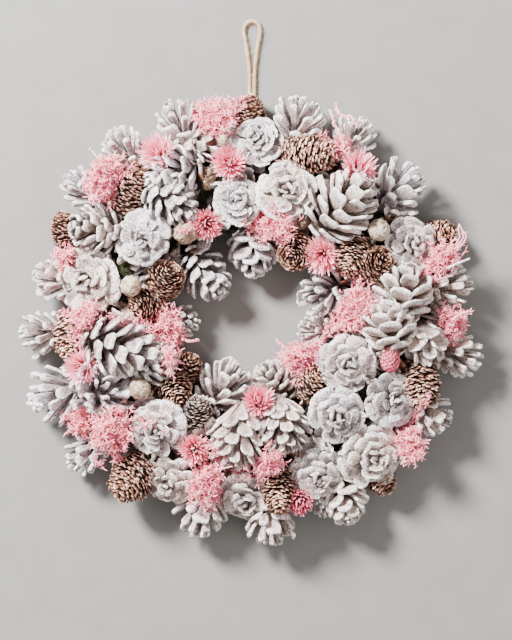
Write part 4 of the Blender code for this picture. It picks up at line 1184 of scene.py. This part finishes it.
# Dyed lichen: soft, dusty and quite matt. It is painted dark red toward the strands' roots and in
# the middle of a tuft, a painted shade, and pale at the tips, a painted highlight.
moss_dye, tree, where, shader = new_material("Pink dyed reindeer moss")
uneven = add_node(tree, "TexNoise", {"Vector": where, "Scale": 350.0, "Detail": 2.0})
along, tone = [add_node(tree, "Attribute", attribute_name=label).outputs["Fac"]
               for label in ("along", "tone")]
vary = add_node(tree, "Math", {0: uneven, 1: tone}, operation="ADD")
spread = add_node(tree, "MapRange", {"Value": vary, "From Min": 0.2, "From Max": 1.6,
                                     "To Min": -0.25, "To Max": 0.25})
place = add_node(tree, "Math", {0: along, 1: spread}, operation="ADD")
colour = add_node(tree, "ValToRGB", {"Fac": place},
                  stops=[(0.0, MOSS_SHADE), (0.4, MOSS_MID), (1.0, MOSS_TIP)])
relief = add_node(tree, "Bump", {"Height": uneven, "Strength": 0.4, "Distance": 0.3 * MM})
connect(shader, {"Base Color": colour, "Normal": relief, "Roughness": 0.9, "Sheen Weight": 0.2})


def add_sprig(heap, ahead, start, draw, size):
    """Adds one of the sprigs along a direction from its start, spun round it."""
    sprig = draw.choice(sprigs)
    spin = Matrix.Rotation(draw.uniform(0, math.tau), 3, ahead)
    heap.add(sprig, laid(spin @ ahead.orthogonal().normalized(), ahead, start), draw.random(),
             0.5, size)


def tuft(heap, centre, axis, width, length, draw):
    """One tuft of moss: forked sprigs that start inside it and reach its uneven outline."""
    _, _, side, other = axes(centre, axis)
    count = int(math.pi * width * length / SPRIG_SPACING ** 2)
    turn = draw.uniform(0, math.tau)
    for _ in range(count):
        way = Vector([draw.gauss(0, 1) for _ in range(3)]).normalized()
        lobes = 1.0 + LOBES * math.sin(4 * way.x + turn) + LOBES * math.sin(5 * way.y - turn)
        depth = draw.uniform(0.7, 1.06) * lobes
        if draw.random() < STRAY_CHANCE:
            depth *= draw.uniform(1.1, 1.3)
        offset = (side * way.x + other * way.y) * 0.5 * width + axis * way.z * 0.5 * length
        end = centre + offset * depth
        ahead = (offset.normalized() + scatter(draw) * 0.8).normalized()
        size = draw.uniform(0.7, 1.2)
        if not in_ring(end):
            add_sprig(heap, ahead, end - ahead * SPRIG_LENGTH * size * 0.7, draw, size)
    # A dark ball in the middle of the tuft: painted shade inside it.
    heap.add(shade_middle_blank, laid(side, axis, centre), 0.3, 0.5,
             (MIDDLE_SHARE * width, MIDDLE_SHARE * length, MIDDLE_SHARE * width),
             ragged=MIDDLE_RAGGED)


def trail(heap, row, draw):
    """Strands that lie along a line on whatever is below them."""
    x0, y0, x1, y1, count, stray = row
    graph = bpy.context.evaluated_depsgraph_get()
    for _ in range(count):
        share = draw.random()
        spot = HUB + Vector((x0 + (x1 - x0) * share + draw.gauss(0, stray * 0.6),
                             y0 + (y1 - y0) * share + draw.gauss(0, stray * 0.6),
                             TRAIL_ABOVE)) * MM
        found, top, *_ = bpy.context.scene.ray_cast(graph, spot, -UP)
        ahead = Vector((x1 - x0, y1 - y0, 0)).normalized() * draw.choice((-1, 1))
        ahead += Vector((draw.uniform(-0.9, 0.9), draw.uniform(-0.9, 0.9),
                         draw.uniform(-0.1, 0.5)))
        size = draw.uniform(0.6, 1.0)
        if found and top.z > TRAIL_FLOOR:
            add_sprig(heap, ahead.normalized(), top + UP * TRAIL_LIFT, draw, size)


for node, rows in MOSS_TUFTS.items():
    draw = random.Random(node)
    heap = Heap()
    for seat, (x, y, width, length, heading, rise) in zip(seats(node, rows), rows):
        if width:
            tuft(heap, seat, leaning(x, y, heading, rise), width * TUFT_WIDER * MM,
                 length * MM, draw)
    for row in TRAILS.get(node, []):
        trail(heap, row, draw)
    heap.make(f"{node}_moss", moss_dye, node)

# Stray stems
# White stalks stand out of the outline: one with a small knob at the upper left, a thin one
# at the right and a thick one at the lower left. Knobby sprigs and thin loops of pale moss
# are pushed in between the cones beside them.
STALKS = [[(-126, 131, 46), (-131, 137, 50), (-136, 141.5, 52), (-141, 147.5, 52)],
          [(170, 43, 58), (179, 47.4, 58), (190, 51.7, 56)],
          [(-184, -77, 42), (-191, -76, 42), (-198, -75, 40)]]
STALK_RADII = (1.0, 1.1, 1.9)
STEM_STEP = 2.5 * MM
STEM_SIDES = 6
# How far along a stem's foot counts, for its material.
STEM_BASE = 0.6
KNOB_RADIUS = 1.7 * MM
KNOB_SPACING = 2.0 * MM
SMALL_KNOB = 0.75
LOOP_RADIUS = 0.65
# The paths of the sprigs, each after how pale it is.
PALE_SPRIGS = [(1.0, [(81, 150, 56), (77, 160, 56), (71.5, 171, 54), (68.6, 182, 52)]),
               (1.0, [(92, 168, 54), (86, 176.5, 54), (79, 176, 54), (74.5, 182, 52),
                      (73.7, 187, 50)]),
               (0.0, [(36, -32, 50), (30, -27, 50), (22, -20, 48)]),
               (0.0, [(176, -2, 52), (182, 3, 50), (190, 6, 48)]),
               (0.0, [(-60, -19, 50), (-53, -21, 50), (-47, -19.5, 48)])]
LOOPS = [[(181.3, 82.3, 52), (183.7, 76.6, 54), (187.3, 72.8, 54), (186.6, 68, 54),
          (183.2, 64.2, 54), (176, 60, 56)],
         [(183.7, 76.6, 54), (185.1, 70.8, 54), (183.7, 68.4, 54), (178, 61, 55)],
         [(181.3, 82.3, 52), (180.3, 77.6, 54), (181.8, 70.8, 54), (178, 64, 55)],
         [(160, 33, 62), (167, 34.8, 62), (175, 37, 60)],
         [(-33, -132, 66), (-25, -130.6, 68), (-17, -129, 66)]]


def stem(path, radius, tip):
    """A stem along a path given in millimetres, as a blank with its tip's width."""
    line, _ = resample([HUB + Vector(spot) * MM for spot in path], STEM_STEP)
    radii = np.linspace(radius, tip, len(line)) * MM
    spots, faces, along = tube(line, radii, STEM_SIDES)
    blank = Blank(piece_of("stem", spots, faces))
    blank.along = STEM_BASE + (1 - STEM_BASE) * np.array(along)
    return blank


heap = Heap()
for path, radius in zip(STALKS, STALK_RADII):
    heap.add(stem(path, radius, radius * 0.9), Matrix.Identity(4), 0.2, 0.2)
bpy.ops.object.select_all(action="DESELECT")
bpy.ops.mesh.primitive_ico_sphere_add(subdivisions=2, radius=KNOB_RADIUS)
knob = Blank(bpy.context.object)
knob.along = np.full(len(knob.points), 0.9)
heap.add(knob, Matrix.Translation(HUB + Vector(STALKS[0][-1]) * MM), 0.2, 0.2, ragged=0.25 * MM)
heap.make("white_stalks", wash)

draw = random.Random("pale sprigs")
heap = Heap()
for tone, path in PALE_SPRIGS:
    heap.add(stem(path, 1.0, 0.8), Matrix.Identity(4), tone, 0.5)
    line, _ = resample([HUB + Vector(spot) * MM for spot in path], KNOB_SPACING)
    for spot in line:
        ahead = scatter(draw).normalized()
        heap.add(knob, Matrix.Translation(spot + ahead * 0.9 * MM), tone, 0.5, SMALL_KNOB,
                 ragged=0.4 * MM)
for path in LOOPS:
    heap.add(stem(path, LOOP_RADIUS, LOOP_RADIUS), Matrix.Identity(4), 1.0, 0.5)
heap.make("pale_moss_sprigs", moss_dye)

# Seed balls
# Dried round seed heads of about 18 mm, cream or tan, with a wrinkled skin in ridges from
# pole to pole, glued between the cones.
BALLS = {
    # Across, up the picture, width and how tan the ball is.
    "cream_ball_01": (111, 77, 20, 0.1),
    "cream_ball_02": (-98, -62, 20, 0.45),
    "cream_ball_03": (-106, 28, 19, 0.3),
    "cream_ball_04": (-59, 77, 21, 0.8),
}
RIDGES = 11
RIDGE_DRAWN = (0.92, 0.92, 0.98)
CREASE_SPREAD = 2.2 * MM
CREASE_DEPTH = 0.09
BALL_CREAM = "#CBC5B4"
BALL_PEACH = "#BDA892"
BALL_TAN = "#80624C"


def set_tan(part, tan):
    """Writes how tan a piece is, for its skin to read."""
    layer = part.data.attributes.new(name="tan", type="FLOAT", domain="POINT")
    layer.data.foreach_set("value", [tan] * len(part.data.vertices))


def seed_ball(name, centre, width, tan):
    """A ridged ball: a sphere whose every other meridian is drawn in, then wrinkled."""
    bpy.ops.object.select_all(action="DESELECT")
    bpy.ops.mesh.primitive_uv_sphere_add(segments=RIDGES * 2, ring_count=16, radius=width / 2)
    ball = bpy.context.object
    ball.name = name
    bpy.ops.object.mode_set(mode="EDIT")
    # Every other meridian is drawn in, but not the poles.
    pick_points(ball, lambda spot: abs(spot.z) < 0.47 * width and round(
        math.atan2(spot.y, spot.x) / math.tau * RIDGES * 2) % 2 == 0)
    bpy.ops.transform.resize(value=RIDGE_DRAWN, center_override=(0, 0, 0))
    bpy.ops.mesh.select_all(action="SELECT")
    bpy.ops.mesh.subdivide(number_cuts=1, smoothness=0.8)
    bpy.ops.object.mode_set(mode="OBJECT")
    creases = bpy.data.textures.new("creases", "CLOUDS")
    creases.noise_scale = CREASE_SPREAD
    creased = ball.modifiers.new("creases", "DISPLACE")
    creased.texture = creases
    creased.strength = CREASE_DEPTH * width
    bpy.ops.object.modifier_apply(modifier="creases")
    bpy.ops.object.shade_smooth()
    lean = leaning(centre.x / MM, centre.y / MM).to_track_quat("Z", "Y")
    for v in ball.data.vertices:
        v.co = lean @ v.co + centre
    set_tan(ball, tan)
    return ball


# Dried seed skin: leathery, cream with tan in its creases, and a very slight waxy gloss.
seed_skin, tree, where, shader = new_material("Dried cream seed skin")
blotch = add_node(tree, "TexNoise", {"Vector": where, "Scale": 260.0, "Detail": 4.0})
pores = add_node(tree, "TexVoronoi", {"Vector": where, "Scale": 900.0})
tan = add_node(tree, "Attribute", attribute_name="tan").outputs["Fac"]
browned = add_node(tree, "Math", {0: tan, 1: 0.2}, operation="MULTIPLY")
darker = add_node(tree, "Math", {0: blotch, 1: browned}, operation="SUBTRACT")
colour = add_node(tree, "ValToRGB", {"Fac": darker},
                  stops=[(0.3, BALL_TAN), (0.45, BALL_PEACH), (0.6, BALL_CREAM)])
relief = add_node(tree, "Bump", {"Height": pores, "Strength": 0.9, "Distance": 0.8 * MM})
connect(shader, {"Base Color": colour, "Normal": relief, "Roughness": 0.75})

for node, (x, y, width, tan_share) in BALLS.items():
    ball = seed_ball(f"{node}_skin", seats(node, [(x, y)])[0], width * MM, tan_share)
    ball.data.materials.append(seed_skin)
    attach(ball, node)

# Pink bud
# A hard little bud with the form of a strawberry, dyed rose pink, set upright in the moss
# near the right-hand side.
BUD_WIDTH = 17 * MM
BUD_LENGTH = 24 * MM
# How scales cover a bud: how many, where they start and how far they run, as heights on a
# ball of radius one, how much slimmer the bud is at its tip, how far in and down their roots
# are, their width, and the bud's core.
ROSE_BUD = (120, -0.96, 1.94, 0.34, 0.82, 3.4 * MM, 3.4 * MM, (0.47, 0.92, 0.92))
bud_blank = scale_blank("bud_scale", [(0, 0, 2.0, 0.8), (2.2, 0.2, 3.2, 0.9),
                                      (3.6, 0.5, 3.0, 0.9), (4.6, 0.8, 1.2, 0.5)], 0.2, sides=6)


def scaly_bud(heap, centre, axis, width, length, form, draw):
    """One bud: a core closely covered with thin scales, from its foot to its tip."""
    count, first, run, slimmer, inward, down, wide, core = form
    bud = axes(centre, axis)
    for k in range(count):
        opening = math.acos(first + run * (k + 0.5) / count)
        out, up = math.sin(opening), math.cos(opening)
        tip = (0.5 * width * out * (1.0 - slimmer * up), 0.5 * length * up)
        lay_scale(heap, bud_blank, bud, (tip[0] * inward, tip[1] - down), tip, k * GOLDEN_TURN,
                  wide, draw.random(), 0.5, draw)
    place_core(heap, bud, width, length, core)


heap = Heap()
scaly_bud(heap, seats("pink_bud", [(121, -35)])[0], direction(90, 34), BUD_WIDTH, BUD_LENGTH,
          ROSE_BUD, random.Random("pink bud"))

# Dyed bud scales, dry and hard: rose with whitish, rubbed edges.
bud_dye, tree, where, shader = new_material("Rose dyed bud scales")
rubbed = add_node(tree, "TexNoise", {"Vector": where, "Scale": 600.0, "Detail": 3.0})
along = add_node(tree, "Attribute", attribute_name="along").outputs["Fac"]
place = add_node(tree, "Math", {0: along, 1: rubbed}, operation="MULTIPLY")
colour = add_node(tree, "ValToRGB", {"Fac": place},
                  stops=[(0.05, "#9A2F42"), (0.36, "#E26C80"), (0.62, "#F2A3AD")])
connect(shader, {"Base Color": colour, "Roughness": 0.65})
heap.make("pink_bud_scales", bud_dye, "pink_bud")

# Small buds and the small ball
# A pointed tan bud and a grey brown one, each a tight whorl of thin scales, and a ball of
# 10 mm. They have no solid of their own: each is glued onto the cones beside it.
SMALL_BUD_TAN = 0.8
# Across, up the picture, height, width, length, heading and rise toward the viewer.
SMALL_BUDS = {"tan_bud": (-38, 124, 44, 14, 22, 80, 45),
              "grey_brown_bud": (45, 84, 42, 13, 18, 240, 60)}
SMALL_BUD = (40, -0.9, 1.88, 0.0, 0.7, 6 * MM, 5 * MM, (0.46, 0.86, 0.9))
# Across, up the picture, height, width and how tan it is.
SMALL_BALL = (-25, 155, 56, 10, 0.3)

for name, (x, y, z, width, length, heading, rise) in SMALL_BUDS.items():
    heap = Heap()
    scaly_bud(heap, HUB + Vector((x, y, z)) * MM, direction(heading, rise), width * MM,
              length * MM, SMALL_BUD, random.Random(name))
    set_tan(heap.make(name, seed_skin), SMALL_BUD_TAN)
x, y, z, width, tan_share = SMALL_BALL
small_ball = seed_ball("small_ball", HUB + Vector((x, y, z)) * MM, width * MM, tan_share)
small_ball.data.materials.append(seed_skin)
attach(small_ball)

# Floor and lights
# A plain pale surface under the wreath, a broad soft light from the upper left as in the
# photograph, a weaker one from the right, and even light from all round.
FLOOR_SIZE = 16.0
# Each light's place and size in metres, and its power in watts.
LIGHTS = {"key light": ((-1.2, 1.2, 1.4), 0.5, 292),
          "fill light": ((1.5, -0.6, 1.4), 1.4, 14)}
ROUND_LIGHT = "#F2F0EC"
ROUND_STRENGTH = 0.74
bpy.ops.mesh.primitive_plane_add(size=FLOOR_SIZE, location=(0, 0, 0))
floor = bpy.context.object
floor.name = "floor"

# Uncoated paper, matt and almost even, with faint clouds of its fibres.
paper, tree, where, shader = new_material("Matt off-white paper")
fibres = add_node(tree, "TexNoise", {"Vector": where, "Scale": 40.0, "Detail": 3.0})
colour = add_node(tree, "ValToRGB", {"Fac": fibres}, stops=[(0.3, "#807E7B"), (0.7, "#858381")])
connect(shader, {"Base Color": colour, "Roughness": 0.95})
floor.data.materials.append(paper)

for name, (place, size, power) in LIGHTS.items():
    bpy.ops.object.light_add(type="AREA", location=place)
    light = bpy.context.object
    light.name = name
    light.data.size = size
    light.data.energy = power
    light.rotation_euler = (-Vector(place)).to_track_quat("-Z", "Y").to_euler()
world = bpy.data.worlds.new("even light")
bpy.context.scene.world = world
world.use_nodes = True
connect(world.node_tree.nodes["Background"], {"Color": ROUND_LIGHT, "Strength": ROUND_STRENGTH})
